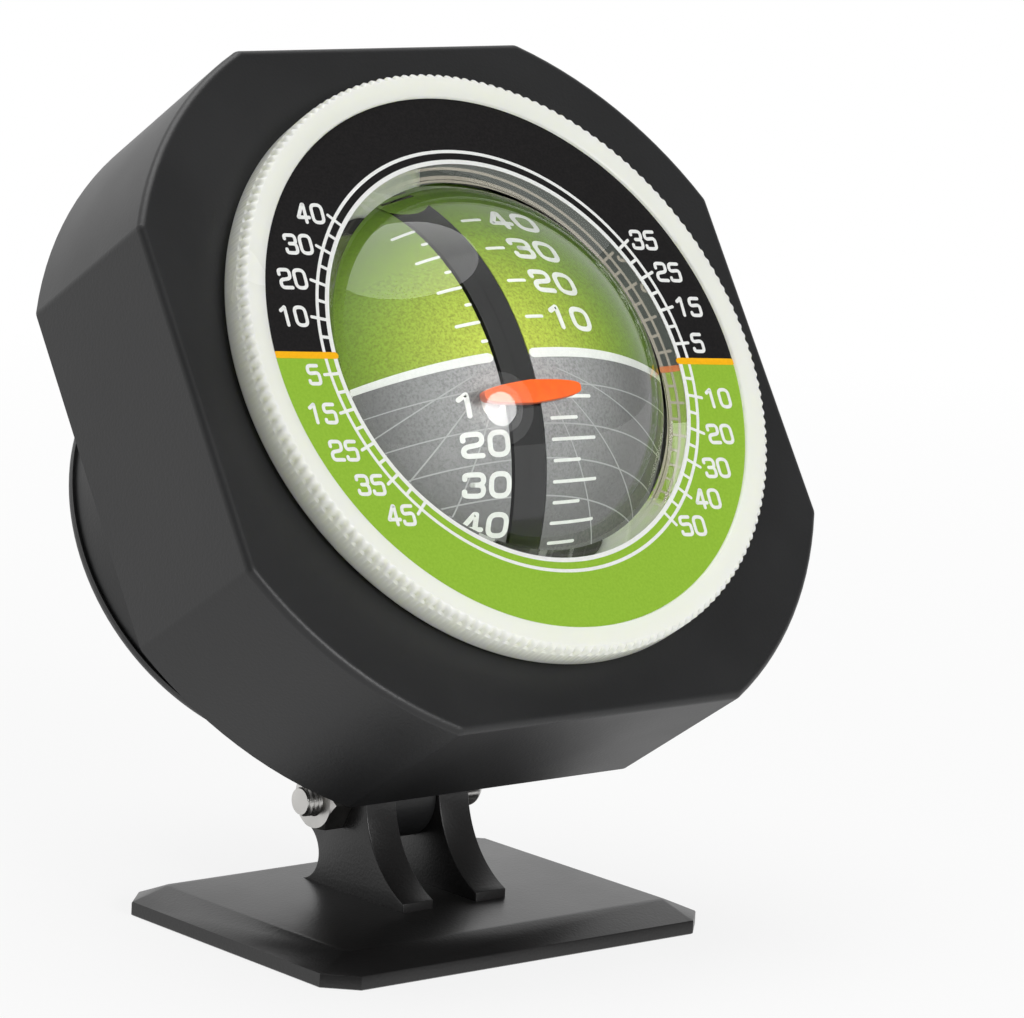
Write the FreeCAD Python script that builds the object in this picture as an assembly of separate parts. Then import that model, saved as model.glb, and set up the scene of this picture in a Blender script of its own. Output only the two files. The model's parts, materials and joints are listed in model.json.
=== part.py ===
"""Ball inclinometer on a tilting dash-top stand.

Frame: millimetres, +Z up, origin at the centre of the stand's underside, the dial faces -Y.
The head is drawn upright in a frame of its own, whose origin is the centre of the housing's
front face with +Y running back into the housing, and it is then leaned back about the hinge.
"""
import FreeCAD
import Part
import math
import os

V = FreeCAD.Vector

# Ball, the size that the capsule, the ring and the housing follow
ball_radius = 25.0
ball_front_y = -1.5
ball_wall = 1.0
ball_inner_face = 2.2
web_thickness = 1.0
ball_hub_radius = 3.2
axle_radius = 1.0
axle_half_length = 8.5
ball_weight_radius = 4.3
ball_weight_length = 6.0
ball_weight_wall = 0.7
ball_weight_skin = 0.55
ball_weight_drop = 6.0
ball_weight_gap = 0.7
ball_rib_half_width = 2.6
ball_rib_lean_deg = 36.0
pitch_limit_deg = 50.0
limit_clearance = 0.2

# Capsule of clear plastic, filled with liquid
ball_gap = 1.0
capsule_wall = 1.2
dome_wall = 1.5
dome_swell = 2.4
dome_apex = 14.45
dome_flange_y = 7.8
capsule_flange_width = 3.2
capsule_flange_thickness = 1.5
seal_thickness = 0.6
seal_inset = 0.4
seal_width = 1.8
bowl_flat_radius = 12.5
bowl_back_margin = 0.9
bowl_back_thickness = 1.2
pressure_hole_count = 6
pressure_hole_radius = 0.8
diaphragm_margin = 0.5
diaphragm_thickness = 0.35
diaphragm_wave = 0.45
diaphragm_ring_count = 4
bearing_radius = 2.1
bearing_reach = 1.5
bearing_length = 3.6
shaft_radius = 1.25
shaft_end_gap = 0.4
clamp_thickness = 1.8
clamp_gap = 0.3
clamp_ear_radius = 3.3
clamp_screw_angles = (36.0, 143.5, 220.0, 346.4)
clamp_screw_head_radius = 2.2
clamp_screw_head_height = 1.2
clamp_screw_shank_radius = 1.0
clamp_screw_length = 8.0

# Roll carrier and pointer
carrier_proud = 0.15
carrier_half_thickness = 1.95
carrier_back_gap = 3.0
hub_half_width = 6.0
hub_half_height = 3.0
hub_length = 4.0
hub_gap = 6.8
roll_weight_radius = 4.2
roll_weight_margin = 2.35
index_angle_deg = 9.3
pointer_gap = 0.5
pointer_thickness = 1.1
pointer_half_length = 7.2
pointer_half_height = 1.25
pointer_tip_radius = 0.75
pointer_stem_width = 2.6

# Bezel and dial
dial_cover = 1.45
dial_front = 4.35
dial_thickness = 1.7
dial_clearance = 0.4
bezel_lip_gap = 5.8
dial_seat_width = 1.6
spigot_wall = 3.0
bezel_overhang = 1.8
bezel_height = 5.0
bezel_rim_drop = 0.25
bezel_side_chamfer = 0.5
bezel_tooth_count = 180
bezel_tooth_depth = 0.35
bezel_tooth_length = 1.5
tooth_crest_share = 0.4
bezel_lift = 0.3
spigot_length = 4.4
opening_clearance = 0.1
snap_ring_width = 2.4
snap_ring_thickness = 1.0
snap_groove_depth = 0.8
snap_ring_gap = 15.0

# Housing
housing_rim = 6.2
housing_corner_bulge = 5.0
housing_depth = 22.8
cover_thickness = 1.8
cover_chamfer = 0.5
front_wall = 2.5
side_wall = 2.2
front_edge_round = 0.9
corner_round = 1.4
cover_lip_height = 1.6
cover_lip_thickness = 1.4
fit_gap = 0.15

# Cover screws
cover_screw_inset = 5.8
screw_head_radius = 3.45
screw_head_height = 2.3
screw_head_round = 0.9
screw_shank_radius = 1.4
screw_length = 11.0
screw_recess_width = 0.9
screw_recess_span = 3.4
screw_recess_depth = 1.3
screw_post_radius = 3.5
screw_post_length = 17.0

# Boss on the rear cover and its slotted cap
boss_gap = 0.25
boss_wall = 1.45
cap_overhang = 0.4
cap_thickness = 2.0
cap_room = 4.7
cap_edge_round = 1.5
cap_skirt_length = 2.4
cap_skirt_thickness = 1.2
slot_width = 4.1
slot_gap = 3.2
slot_length_shares = (1.38, 1.3, 0.89)
raised_pad_height = 1.0
raised_pad_radius = 3.75

# Lamp box on top of the boss
box_length = 19.7
box_rise = 5.6
box_wall = 1.6
box_corner = 2.4
lid_height = 3.8
lid_edge_height = 0.9
lid_side_bevel = 3.4
lid_back_bevel = 2.2
lid_wall = 1.5
lid_screw_inset = 6.0
lid_screw_head_radius = 2.1
lid_screw_head_height = 1.1
lid_screw_radius = 1.0
lid_screw_length = 6.5
lid_post_radius = 2.5
lid_recess = 0.3
cell_radius = 5.8
cell_height = 5.0
cell_rim = 0.5
cell_side_gap = 0.5
cell_spacing = 5.9
right_cell_setback = 2.9
left_cell_setback = 0.6
strip_thickness = 0.4
strip_width = 3.0
tab_width = 3.0
tab_thickness = 0.3
lamp_offset = 1.4
lamp_setback = 4.1
lamp_radius = 1.5
lamp_collar_radius = 1.9
lamp_collar_height = 0.8
lamp_length = 4.6
switch_setback = 7.7
switch_thickness = 2.4
switch_half_width = 2.6
button_radius = 1.05
button_rise = 3.1
button_stick_out = 2.5
button_travel = 0.8
button_collar_radius = 1.6
button_collar_thickness = 0.5

# Stand
plate_half_width = 29.5
plate_half_depth = 22.3
plate_corner = 3.5
plate_side_height = 1.7
plate_height = 3.6
plate_bevel = 4.4
plateau_corner = 0.5
pad_margin = 2.6
pad_thickness = 0.8
hinge_y = 7.1
hinge_z = 15.0
ear_radius = 6.5
ear_gap = 6.8
ear_thickness = 4.7
ear_foot_front = 14.5
ear_foot_back = 5.5
ear_foot_step = 1.1
ear_waist_back = 2.5
ear_waist_drop = 7.4
ear_front_mid = 9.8
ear_front_drop = 7.0

# Hinge hardware
bolt_radius = 2.0
bolt_head_radius = 3.5
bolt_head_length = 5.0
bolt_socket_flats = 3.0
bolt_socket_depth = 2.2
bolt_end_chamfer = 0.4
bolt_stick_out = 2.0
nut_flats = 7.0
nut_thickness = 3.2
nut_rest_thickness = 1.3
nut_rest_root = 0.5
running_clearance = 0.05
face_gap = 0.1
lug_radius = 6.0
lug_clearance = 1.0
hinge_setback = 7.5
lean_deg = 33.0

overrun = 1.0
full_turn_deg = 360.0
half_turn_deg = 180.0
quarter_turn_deg = 90.0

X_AXIS = V(1, 0, 0)
Y_AXIS = V(0, 1, 0)
Z_AXIS = V(0, 0, 1)
ORIGIN = V(0, 0, 0)

capsule_inner_radius = ball_radius + ball_gap
capsule_radius = capsule_inner_radius + capsule_wall
capsule_flange_radius = capsule_radius + capsule_flange_width
dome_radius = capsule_radius + dome_swell
dome_centre_y = dome_radius - dome_apex
ball_centre_y = ball_radius + ball_front_y
carrier_radius = ball_radius + carrier_proud
ball_weight_start = hub_half_width + ball_weight_gap + ball_weight_wall
ball_weight_end = ball_weight_start + ball_weight_length
ball_weight_place = (math.sqrt((ball_radius - ball_weight_skin) ** 2 - ball_weight_end ** 2)
                     - ball_weight_radius)
ball_weight_back = math.sqrt(ball_weight_place ** 2 - ball_weight_drop ** 2)
bowl_depth = math.sqrt(capsule_inner_radius ** 2 - bowl_flat_radius ** 2)
bowl_back_y = ball_centre_y + bowl_depth
bowl_back_radius = bowl_flat_radius + bowl_back_margin
diaphragm_radius = bowl_back_radius - diaphragm_margin
pressure_hole_place = (diaphragm_radius + bearing_radius) / 2
bearing_front_y = bowl_back_y - bearing_reach
bearing_back_y = bearing_front_y + bearing_length
seal_inner_radius = capsule_radius + seal_inset
seal_y = dome_flange_y + capsule_flange_thickness
bowl_flange_y = seal_y + seal_thickness
bowl_seat_y = bowl_flange_y + capsule_flange_thickness
clamp_y = dome_flange_y - clamp_thickness
clamp_inner_radius = capsule_radius + clamp_gap
clamp_circle_radius = capsule_flange_radius + clamp_ear_radius + clamp_gap
hub_back = bowl_depth - hub_gap
hub_front = hub_back - hub_length
carrier_back = hub_front - carrier_back_gap
roll_weight_place = carrier_radius - roll_weight_radius - roll_weight_margin
pitch_limit = math.radians(pitch_limit_deg)
ball_back = hub_front * math.cos(pitch_limit) - hub_half_height * math.sin(pitch_limit) - limit_clearance

dial_window_radius = capsule_radius - dial_cover
bezel_lip_radius = capsule_radius + bezel_lip_gap
bezel_opening = bezel_lip_radius + dial_seat_width
spigot_radius = bezel_lip_radius + spigot_wall
bezel_radius = spigot_radius + bezel_overhang
snap_ring_radius = spigot_radius + snap_ring_width
housing_half = bezel_radius + housing_rim
housing_round_radius = housing_half + housing_corner_bulge
cover_back_y = housing_depth + cover_thickness
cover_screw_place = (housing_round_radius - cover_screw_inset) / math.sqrt(2)

boss_bore_radius = capsule_radius + boss_gap
boss_radius = boss_bore_radius + boss_wall
cap_radius = boss_radius + cap_overhang
cap_back_y = bowl_back_y + cap_room
cap_front_y = cap_back_y - cap_thickness
switch_room = button_collar_thickness + button_travel + face_gap + switch_thickness
box_inner_width = switch_room + 4 * cell_radius + cell_spacing + 2 * cell_side_gap
box_half_width = box_inner_width / 2 + box_wall
box_back_y = cover_back_y + box_length
box_inner_back_y = box_back_y - box_wall
box_top_z = boss_radius + box_rise
switch_y = box_inner_back_y - switch_setback
switch_z = boss_radius + button_rise
lid_screw_y = cover_back_y + lid_screw_inset
lamp_place_y = box_inner_back_y - lamp_setback
right_cell = (box_inner_width / 2 - cell_side_gap - cell_radius,
              box_inner_back_y - cell_radius - right_cell_setback)
left_cell = (switch_room + cell_side_gap + cell_radius - box_inner_width / 2,
             box_inner_back_y - cell_radius - left_cell_setback)

ear_inner = ear_gap / 2
ear_outer = ear_inner + ear_thickness
head_hinge_y = cap_back_y - hinge_setback
head_hinge_z = -cap_radius - ear_radius - lug_clearance


def polygon_face(points):
    """A flat face through the points, closed back to the first."""
    return Part.Face(Part.makePolygon(list(points) + [points[0]]))


def turned(outline):
    """A solid of revolution about the dial's axis from (radius, depth) points."""
    face = polygon_face([V(r, y, 0) for r, y in outline])
    return face.revolve(ORIGIN, Y_AXIS, full_turn_deg)


def disc(radius, y0, y1, x=0, z=0):
    """A round bar along the dial's axis."""
    return Part.makeCylinder(radius, y1 - y0, V(x, y0, z), Y_AXIS)


def ring(outer, inner, y0, y1):
    return disc(outer, y0, y1).cut(disc(inner, y0 - overrun, y1 + overrun))


def block(x0, x1, y0, y1, z0, z1):
    return Part.makeBox(x1 - x0, y1 - y0, z1 - z0, V(x0, y0, z0))


def cross_bar(radius, x0, x1, y, z):
    """A round bar along X."""
    return Part.makeCylinder(radius, x1 - x0, V(x0, y, z), X_AXIS)


def polar(radius, angle_deg):
    """X and Z of a place round the dial's axis, counted from +X towards +Z."""
    a = math.radians(angle_deg)
    return radius * math.cos(a), radius * math.sin(a)


def sphere_y(radius, centre_y, r):
    """Depth of a sphere's front at a distance r from the dial's axis."""
    return centre_y - math.sqrt(radius * radius - r * r)


def front_arc(radius, centre_y, r0, r1):
    """Arc on a sphere's front from r0 to r1, in the XY plane."""
    def at(r):
        return V(r, sphere_y(radius, centre_y, r), 0)
    return Part.Arc(at(r0), at((r0 + r1) / 2), at(r1)).toShape()


def turned_wire(edges):
    wire = Part.Wire(Part.__sortEdges__(edges))
    return Part.Face(wire).revolve(ORIGIN, Y_AXIS, full_turn_deg)


def lines(points):
    return [Part.makeLine(a, b) for a, b in zip(points[:-1], points[1:])]


def housing_block(y0, y1, inset=0.0):
    """The housing's outline, a circle with four flats, between two depths."""
    half = housing_half - inset
    body = disc(housing_round_radius - inset, y0, y1)
    return body.common(block(-half, half, y0, y1, -half, half))


def long_edges(shape, length):
    """Straight edges along the dial's axis that are as long as the given length."""
    found = []
    for edge in shape.Edges:
        box = edge.BoundBox
        along = abs(box.YLength - length) < running_clearance
        if along and box.XLength < running_clearance and box.ZLength < running_clearance:
            found.append(edge)
    return found


def edges_at_depth(shape, y, radius=None):
    """Edges that lie at one depth, or only those that reach outside a radius."""
    found = []
    for edge in shape.Edges:
        box = edge.BoundBox
        flat = box.YLength < running_clearance and abs(box.YMin - y) < running_clearance
        far = max(abs(box.XMin), abs(box.XMax), abs(box.ZMin), abs(box.ZMax))
        if flat and (radius is None or far > radius):
            found.append(edge)
    return found


def base_bracket():
    """Bevelled plate with two waisted ears and a ledge under the nut."""
    lower = octagon(plate_half_width, plate_half_depth, plate_corner, plate_side_height)
    top_x = plate_half_width - plate_bevel
    top_y = plate_half_depth - plate_bevel
    upper = octagon(top_x, top_y, plateau_corner, plate_height)
    foot = octagon(plate_half_width, plate_half_depth, plate_corner, 0)
    plate = Part.Face(foot).extrude(V(0, 0, plate_side_height))
    plate = plate.fuse(Part.makeLoft([lower, upper], True, True))
    plate = plate.cut(pad_block(pad_thickness))
    body = plate
    for side in (-1, 1):
        body = body.fuse(ear(side))
    body = body.fuse(nut_rest())
    bore = cross_bar(bolt_radius + running_clearance, -ear_outer - nut_thickness - overrun,
                     ear_outer + overrun, hinge_y, hinge_z)
    return body.cut(bore).removeSplitter()


def octagon(half_x, half_y, corner, z):
    """A rectangle with cut corners, as a closed wire at one height."""
    points = [
        V(-half_x, -half_y + corner, z), V(-half_x + corner, -half_y, z),
        V(half_x - corner, -half_y, z), V(half_x, -half_y + corner, z),
        V(half_x, half_y - corner, z), V(half_x - corner, half_y, z),
        V(-half_x + corner, half_y, z), V(-half_x, half_y - corner, z),
    ]
    return Part.makePolygon(points + [points[0]])


def pad_block(height):
    """The recess in the plate's underside, and what fills it."""
    half_x = plate_half_width - pad_margin
    half_y = plate_half_depth - pad_margin
    return Part.Face(octagon(half_x, half_y, plate_corner, 0)).extrude(V(0, 0, height))


def ear(side):
    """One hinge ear: a round head on a waisted foot that leans back."""
    z0 = plate_height - pad_thickness
    step = plate_height + ear_foot_step
    head_front = V(0, hinge_y - ear_radius, hinge_z)
    a = math.radians(quarter_turn_deg / 2)
    head_back = V(0, hinge_y + ear_radius * math.cos(a), hinge_z - ear_radius * math.sin(a))
    foot_front_y = hinge_y - ear_foot_front
    foot_back_y = hinge_y + ear_foot_back
    foot_front = V(0, foot_front_y, step)
    foot_back = V(0, foot_back_y, plate_height)
    bulge = V(0, hinge_y - ear_front_mid, hinge_z - ear_front_drop)
    waist = V(0, hinge_y + ear_waist_back, hinge_z - ear_waist_drop)
    front = Part.Arc(foot_front, bulge, head_front).toShape()
    crown = Part.Arc(head_front, V(0, hinge_y, hinge_z + ear_radius), head_back).toShape()
    back = Part.Arc(head_back, waist, foot_back).toShape()
    foot = lines([foot_back, V(0, foot_back_y, z0), V(0, foot_front_y, z0), foot_front])
    face = Part.Face(Part.Wire([front, crown, back] + foot))
    solid = face.extrude(V(ear_thickness, 0, 0))
    start = ear_inner if side > 0 else -ear_outer
    solid.translate(V(start, 0, 0))
    return solid


def nut_rest():
    """Ledge under the nut that keeps it from turning."""
    inner = nut_flats / 2 + face_gap
    z1 = hinge_z - inner
    z0 = z1 - nut_rest_thickness
    half = nut_flats / 2
    x0 = -ear_outer - nut_thickness
    return block(x0, -ear_outer + nut_rest_root, hinge_y - half, hinge_y + half, z0, z1)


def adhesive_pad():
    return pad_block(pad_thickness)


def hinge_bolt():
    """Cylinder-head bolt through both ears, with a hex socket in its head."""
    end = -ear_outer - nut_thickness - bolt_stick_out
    shank = cross_bar(bolt_radius, end, ear_outer + bolt_end_chamfer, hinge_y, hinge_z)
    tip = [e for e in shank.Edges if abs(e.BoundBox.XMax - end) < running_clearance]
    shank = shank.makeChamfer(bolt_end_chamfer, tip)
    head = cross_bar(bolt_head_radius, ear_outer, ear_outer + bolt_head_length, hinge_y, hinge_z)
    rim = [e for e in head.Edges
           if abs(e.BoundBox.XMin - ear_outer - bolt_head_length) < running_clearance]
    head = head.makeFillet(bolt_end_chamfer, rim)
    socket_start = ear_outer + bolt_head_length - bolt_socket_depth
    socket = hexagon(bolt_socket_flats, socket_start, bolt_socket_depth + overrun)
    return shank.fuse(head).cut(socket).removeSplitter()


def hexagon(flats, x0, length):
    """Hexagonal bar along X round the hinge's axis, with flats above and below."""
    corner = flats / 2 / math.cos(math.radians(half_turn_deg / 6))
    points = []
    for k in range(6):
        a = math.radians(full_turn_deg * k / 6)
        points.append(V(x0, hinge_y + corner * math.cos(a), hinge_z + corner * math.sin(a)))
    return polygon_face(points).extrude(V(length, 0, 0))


def hinge_nut():
    """Hex nut with its outer corners turned off."""
    x0 = -ear_outer - nut_thickness
    nut = hexagon(nut_flats, x0, nut_thickness)
    round_off = Part.makeCone(nut_flats / 2, nut_flats / 2 + nut_thickness, nut_thickness,
                              V(x0, hinge_y, hinge_z), X_AXIS)
    bore = cross_bar(bolt_radius + running_clearance, x0 - overrun, overrun - ear_outer,
                     hinge_y, hinge_z)
    return nut.common(round_off).cut(bore)


def front_housing():
    """Open-backed shell with the round opening for the bezel and four screw posts."""
    outer = housing_block(0, housing_depth)
    outer = outer.makeFillet(corner_round, long_edges(outer, housing_depth))
    outer = outer.makeFillet(front_edge_round, edges_at_depth(outer, 0))
    inner = housing_block(front_wall, housing_depth + overrun, side_wall)
    shell = outer.cut(inner)
    shell = shell.cut(disc(spigot_radius + opening_clearance, -overrun, front_wall + overrun))
    posts = []
    holes = []
    post_start = housing_depth - screw_post_length
    for x, z in cover_screw_places():
        post = disc(screw_post_radius, front_wall - running_clearance, housing_depth - fit_gap, x, z)
        posts.append(post)
        holes.append(disc(screw_shank_radius + running_clearance, post_start,
                          housing_depth + overrun, x, z))
    return shell.fuse(posts).cut(Part.makeCompound(holes)).removeSplitter()


def cover_screw_places():
    p = cover_screw_place
    return [(p, p), (-p, p), (-p, -p), (p, -p)]


def rear_cover():
    """Back plate with the capsule's tube, the hinge lug, raised pads and the lamp box."""
    plate = housing_block(housing_depth, cover_back_y)
    plate = plate.makeFillet(corner_round, long_edges(plate, cover_thickness))
    plate = plate.makeChamfer(cover_chamfer, edges_at_depth(plate, cover_back_y))
    lip = housing_block(housing_depth - cover_lip_height, housing_depth + running_clearance,
                        side_wall + fit_gap)
    lip = lip.cut(housing_block(housing_depth - cover_lip_height - overrun,
                                housing_depth + overrun, side_wall + fit_gap + cover_lip_thickness))
    tube = disc(boss_radius, bowl_seat_y, cap_front_y)
    body = plate.fuse([lip, tube, lug(), lamp_box_outside()] + raised_pads() + clamp_posts())
    bore = disc(boss_bore_radius, bowl_seat_y - overrun, cap_front_y + overrun)
    cuts = [bore, lamp_box_inside(), lug_bore(), lamp_hole(), button_hole()]
    for x, z in cover_screw_places():
        reach = screw_post_radius + fit_gap
        cuts.append(disc(reach, housing_depth - cover_lip_height - overrun, housing_depth, x, z))
        cuts.append(disc(screw_shank_radius + running_clearance, housing_depth - overrun,
                         cover_back_y + overrun, x, z))
    for x, z in clamp_screw_places():
        cuts.append(disc(clamp_screw_shank_radius + running_clearance, clamp_post_y() - overrun,
                         clamp_post_y() + clamp_screw_length, x, z))
    body = body.cut(Part.makeCompound(cuts))
    return body.fuse(lid_post()).cut(lid_screw_hole()).removeSplitter()


def clamp_screw_places():
    return [polar(clamp_circle_radius, a) for a in clamp_screw_angles]


def clamp_post_y():
    """Front of the posts that the clamp ring's ears rest on."""
    return clamp_y + clamp_thickness


def clamp_posts():
    posts = []
    for x, z in clamp_screw_places():
        posts.append(disc(clamp_ear_radius, clamp_post_y(), cover_back_y - running_clearance, x, z))
    return posts


def raised_pads():
    """Round-ended pads on the back plate, one behind each post."""
    pads = []
    for angle in clamp_screw_angles:
        back = cover_back_y + raised_pad_height
        tip = disc(raised_pad_radius, cover_back_y - running_clearance, back, clamp_circle_radius)
        arm = block(boss_bore_radius + boss_wall / 2, clamp_circle_radius,
                    cover_back_y - running_clearance, back, -raised_pad_radius, raised_pad_radius)
        pad = tip.fuse(arm)
        pad.rotate(ORIGIN, Y_AXIS, -angle)
        pads.append(pad)
    return pads


def lug():
    """Hinge lug that hangs below the boss."""
    half = ear_inner - face_gap
    eye = cross_bar(lug_radius, -half, half, head_hinge_y, head_hinge_z)
    root = block(-half, half, head_hinge_y - lug_radius, cap_front_y - fit_gap,
                 head_hinge_z, -boss_bore_radius)
    return eye.fuse(root)


def lug_bore():
    reach = ear_inner + overrun
    return cross_bar(bolt_radius + running_clearance, -reach, reach, head_hinge_y, head_hinge_z)


def box_outline(inset, z):
    """The lamp box seen from above, with its two rear corners cut."""
    half = box_half_width - inset
    back = box_back_y - inset
    front = cover_back_y + inset if inset else housing_depth + cover_thickness / 2
    return Part.makePolygon([
        V(-half, front, z), V(half, front, z), V(half, back - box_corner, z),
        V(half - box_corner, back, z), V(-half + box_corner, back, z),
        V(-half, back - box_corner, z), V(-half, front, z)])


def lamp_box_outside():
    bottom = math.sqrt(boss_bore_radius ** 2 - box_half_width ** 2)
    return Part.Face(box_outline(0, bottom)).extrude(V(0, 0, box_top_z - bottom))


def lamp_box_inside():
    """Hollow of the lamp box, down to the tube's wall."""
    bottom = math.sqrt(boss_radius ** 2 - box_half_width ** 2)
    space = Part.Face(box_outline(box_wall, bottom)).extrude(V(0, 0, box_top_z))
    return space.cut(disc(boss_radius, 0, cap_back_y))


def lid_post():
    """Screw post that stands on the tube inside the lamp box."""
    top = box_top_z
    return Part.makeCylinder(lid_post_radius, top - boss_radius + boss_wall / 2,
                             V(0, lid_screw_y, boss_radius - boss_wall / 2), Z_AXIS)


def lid_screw_hole():
    depth = lid_screw_length
    return Part.makeCylinder(lid_screw_radius + running_clearance, depth,
                             V(0, lid_screw_y, lid_top_z() - depth - lid_recess), Z_AXIS)


def lid_top_z():
    return box_top_z + lid_height


def lamp_hole():
    return Part.makeCylinder(lamp_radius + running_clearance, cap_radius,
                             V(lamp_offset, lamp_place_y, 0), Z_AXIS)


def button_hole():
    wall = box_half_width - box_wall
    return cross_bar(button_radius + running_clearance, -box_half_width - overrun, -wall + overrun,
                     switch_y, switch_z)


def lamp_lid():
    """Bevelled lid, hollow below, with a countersunk screw hole."""
    front = cover_back_y + fit_gap
    z0 = box_top_z
    z1 = z0 + lid_edge_height
    z2 = lid_top_z()
    lower = lid_outline(box_half_width, box_back_y, box_corner, front, z0)
    middle = lid_outline(box_half_width, box_back_y, box_corner, front, z1)
    upper = lid_outline(box_half_width - lid_side_bevel, box_back_y - lid_back_bevel,
                        box_corner, front, z2)
    outer = Part.Face(lower).extrude(V(0, 0, lid_edge_height))
    outer = outer.fuse(Part.makeLoft([middle, upper], True, True))
    half = box_half_width - box_wall
    hollow_low = lid_outline(half, box_back_y - box_wall, box_corner, front + box_wall, z0 - overrun)
    hollow = Part.Face(hollow_low).extrude(V(0, 0, lid_edge_height + overrun))
    hollow_mid = lid_outline(half, box_back_y - box_wall, box_corner, front + box_wall, z1)
    hollow_top = lid_outline(half - lid_side_bevel, box_back_y - box_wall - lid_back_bevel,
                             box_corner, front + box_wall, z2 - lid_wall)
    hollow = hollow.fuse(Part.makeLoft([hollow_mid, hollow_top], True, True))
    post = Part.makeCylinder(lid_post_radius, z2 - z0, V(0, lid_screw_y, z0), Z_AXIS)
    lid = outer.cut(hollow).fuse(post.common(outer))
    sink = Part.makeCylinder(lid_screw_head_radius + fit_gap, lid_screw_head_height + lid_recess,
                             V(0, lid_screw_y, z2 - lid_screw_head_height - lid_recess), Z_AXIS)
    bore = Part.makeCylinder(lid_screw_radius + running_clearance, lid_height,
                             V(0, lid_screw_y, z0), Z_AXIS)
    return lid.cut(Part.makeCompound([sink, bore])).removeSplitter()


def lid_outline(half, back, corner, front, z):
    return Part.makePolygon([
        V(-half, front, z), V(half, front, z), V(half, back - corner, z),
        V(half - corner, back, z), V(-half + corner, back, z),
        V(-half, back - corner, z), V(-half, front, z)])


def lid_screw():
    """Small metal screw sunk in the lid, with a cross recess."""
    top = lid_top_z() - lid_recess
    seat = top - lid_screw_head_height
    head = Part.makeCylinder(lid_screw_head_radius, lid_screw_head_height,
                             V(0, lid_screw_y, seat), Z_AXIS)
    depth = lid_screw_head_height * 2 / 3
    half = lid_screw_head_radius * 2 / 3
    arm = screw_recess_width / 4
    cross = block(-half, half, lid_screw_y - arm, lid_screw_y + arm, top - depth, top + overrun)
    cross = cross.fuse(block(-arm, arm, lid_screw_y - half, lid_screw_y + half,
                             top - depth, top + overrun))
    shank = Part.makeCylinder(lid_screw_radius, lid_screw_length - lid_screw_head_height,
                              V(0, lid_screw_y, top - lid_screw_length), Z_AXIS)
    return head.cut(cross).fuse(shank)


def cell_floor_z():
    """Height on which the strip and the cells lie, just above the tube's crown."""
    return boss_radius + face_gap


def contact_strip():
    """Strip under both cells that joins them, between the lid's post and the lamp."""
    y = (lid_screw_y + lid_post_radius + lamp_place_y - lamp_collar_radius) / 2
    xa = right_cell[0]
    xb = left_cell[0]
    z = cell_floor_z()
    return block(xb, xa, y - strip_width / 2, y + strip_width / 2, z, z + strip_thickness)


def button_cells():
    cells = []
    z = cell_floor_z() + strip_thickness
    for x, y in (right_cell, left_cell):
        can = Part.makeCylinder(cell_radius, cell_height - cell_rim, V(x, y, z), Z_AXIS)
        cap = Part.makeCylinder(cell_radius - 2 * cell_rim, cell_rim,
                                V(x, y, z + cell_height - cell_rim), Z_AXIS)
        cells.append(can.fuse(cap).removeSplitter())
    return Part.makeCompound(cells)


def contact_tabs():
    """Leaf tabs between the cells and the lid."""
    tabs = []
    z0 = cell_floor_z() + strip_thickness + cell_height
    z1 = lid_top_z() - lid_wall
    reach = cell_radius / 2
    for x, y in (right_cell, left_cell):
        leg = block(x - tab_thickness / 2, x + tab_thickness / 2, y - tab_width / 2,
                    y + tab_width / 2, z0, z1)
        foot = block(x - reach, x + reach, y - tab_width / 2, y + tab_width / 2,
                     z0, z0 + tab_thickness)
        tabs.append(leg.fuse(foot))
    return Part.makeCompound(tabs)


def lamp():
    """Round lamp that shines through the tube's wall onto the ball."""
    tip = capsule_radius + fit_gap + lamp_radius
    barrel = Part.makeCylinder(lamp_radius, lamp_length - lamp_radius,
                               V(lamp_offset, lamp_place_y, tip), Z_AXIS)
    nose = Part.makeSphere(lamp_radius, V(lamp_offset, lamp_place_y, tip))
    collar = Part.makeCylinder(lamp_collar_radius, lamp_collar_height,
                               V(lamp_offset, lamp_place_y, boss_radius), Z_AXIS)
    return barrel.fuse([nose, collar]).removeSplitter()


def light_switch():
    """Switch body that the button presses, behind the box's side wall."""
    x0 = -box_half_width + box_wall + button_collar_thickness + button_travel + face_gap
    half = switch_half_width
    body = block(x0, x0 + switch_thickness, switch_y - half, switch_y + half,
                 cell_floor_z(), cell_floor_z() + 2 * half)
    return body


def switch_button():
    """Push button with a collar that keeps it in the wall."""
    wall = -box_half_width + box_wall
    pin = cross_bar(button_radius, -box_half_width - button_stick_out, wall + button_collar_thickness,
                    switch_y, switch_z)
    rim = [e for e in pin.Edges
           if abs(e.BoundBox.XMax + box_half_width + button_stick_out) < running_clearance]
    pin = pin.makeFillet(button_radius / 4, rim)
    collar = cross_bar(button_collar_radius, wall + face_gap / 2, wall + button_collar_thickness,
                       switch_y, switch_z)
    return pin.fuse(collar)


def cover_screws():
    """Four pan-head screws with cross recesses."""
    return Part.makeCompound([cover_screw(x, z) for x, z in cover_screw_places()])


def cover_screw(x, z):
    top = cover_back_y + screw_head_height
    head = disc(screw_head_radius, cover_back_y, top, x, z)
    rim = [e for e in head.Edges if abs(e.BoundBox.YMin - top) < running_clearance]
    head = head.makeFillet(screw_head_round, rim)
    shank = disc(screw_shank_radius, top - screw_length, cover_back_y + running_clearance, x, z)
    half = screw_recess_span / 2
    arm = screw_recess_width / 2
    floor = top - screw_recess_depth
    cross = block(x - half, x + half, floor, top + overrun, z - arm, z + arm)
    cross = cross.fuse(block(x - arm, x + arm, floor, top + overrun, z - half, z + half))
    return head.fuse(shank).cut(cross).removeSplitter()


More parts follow.
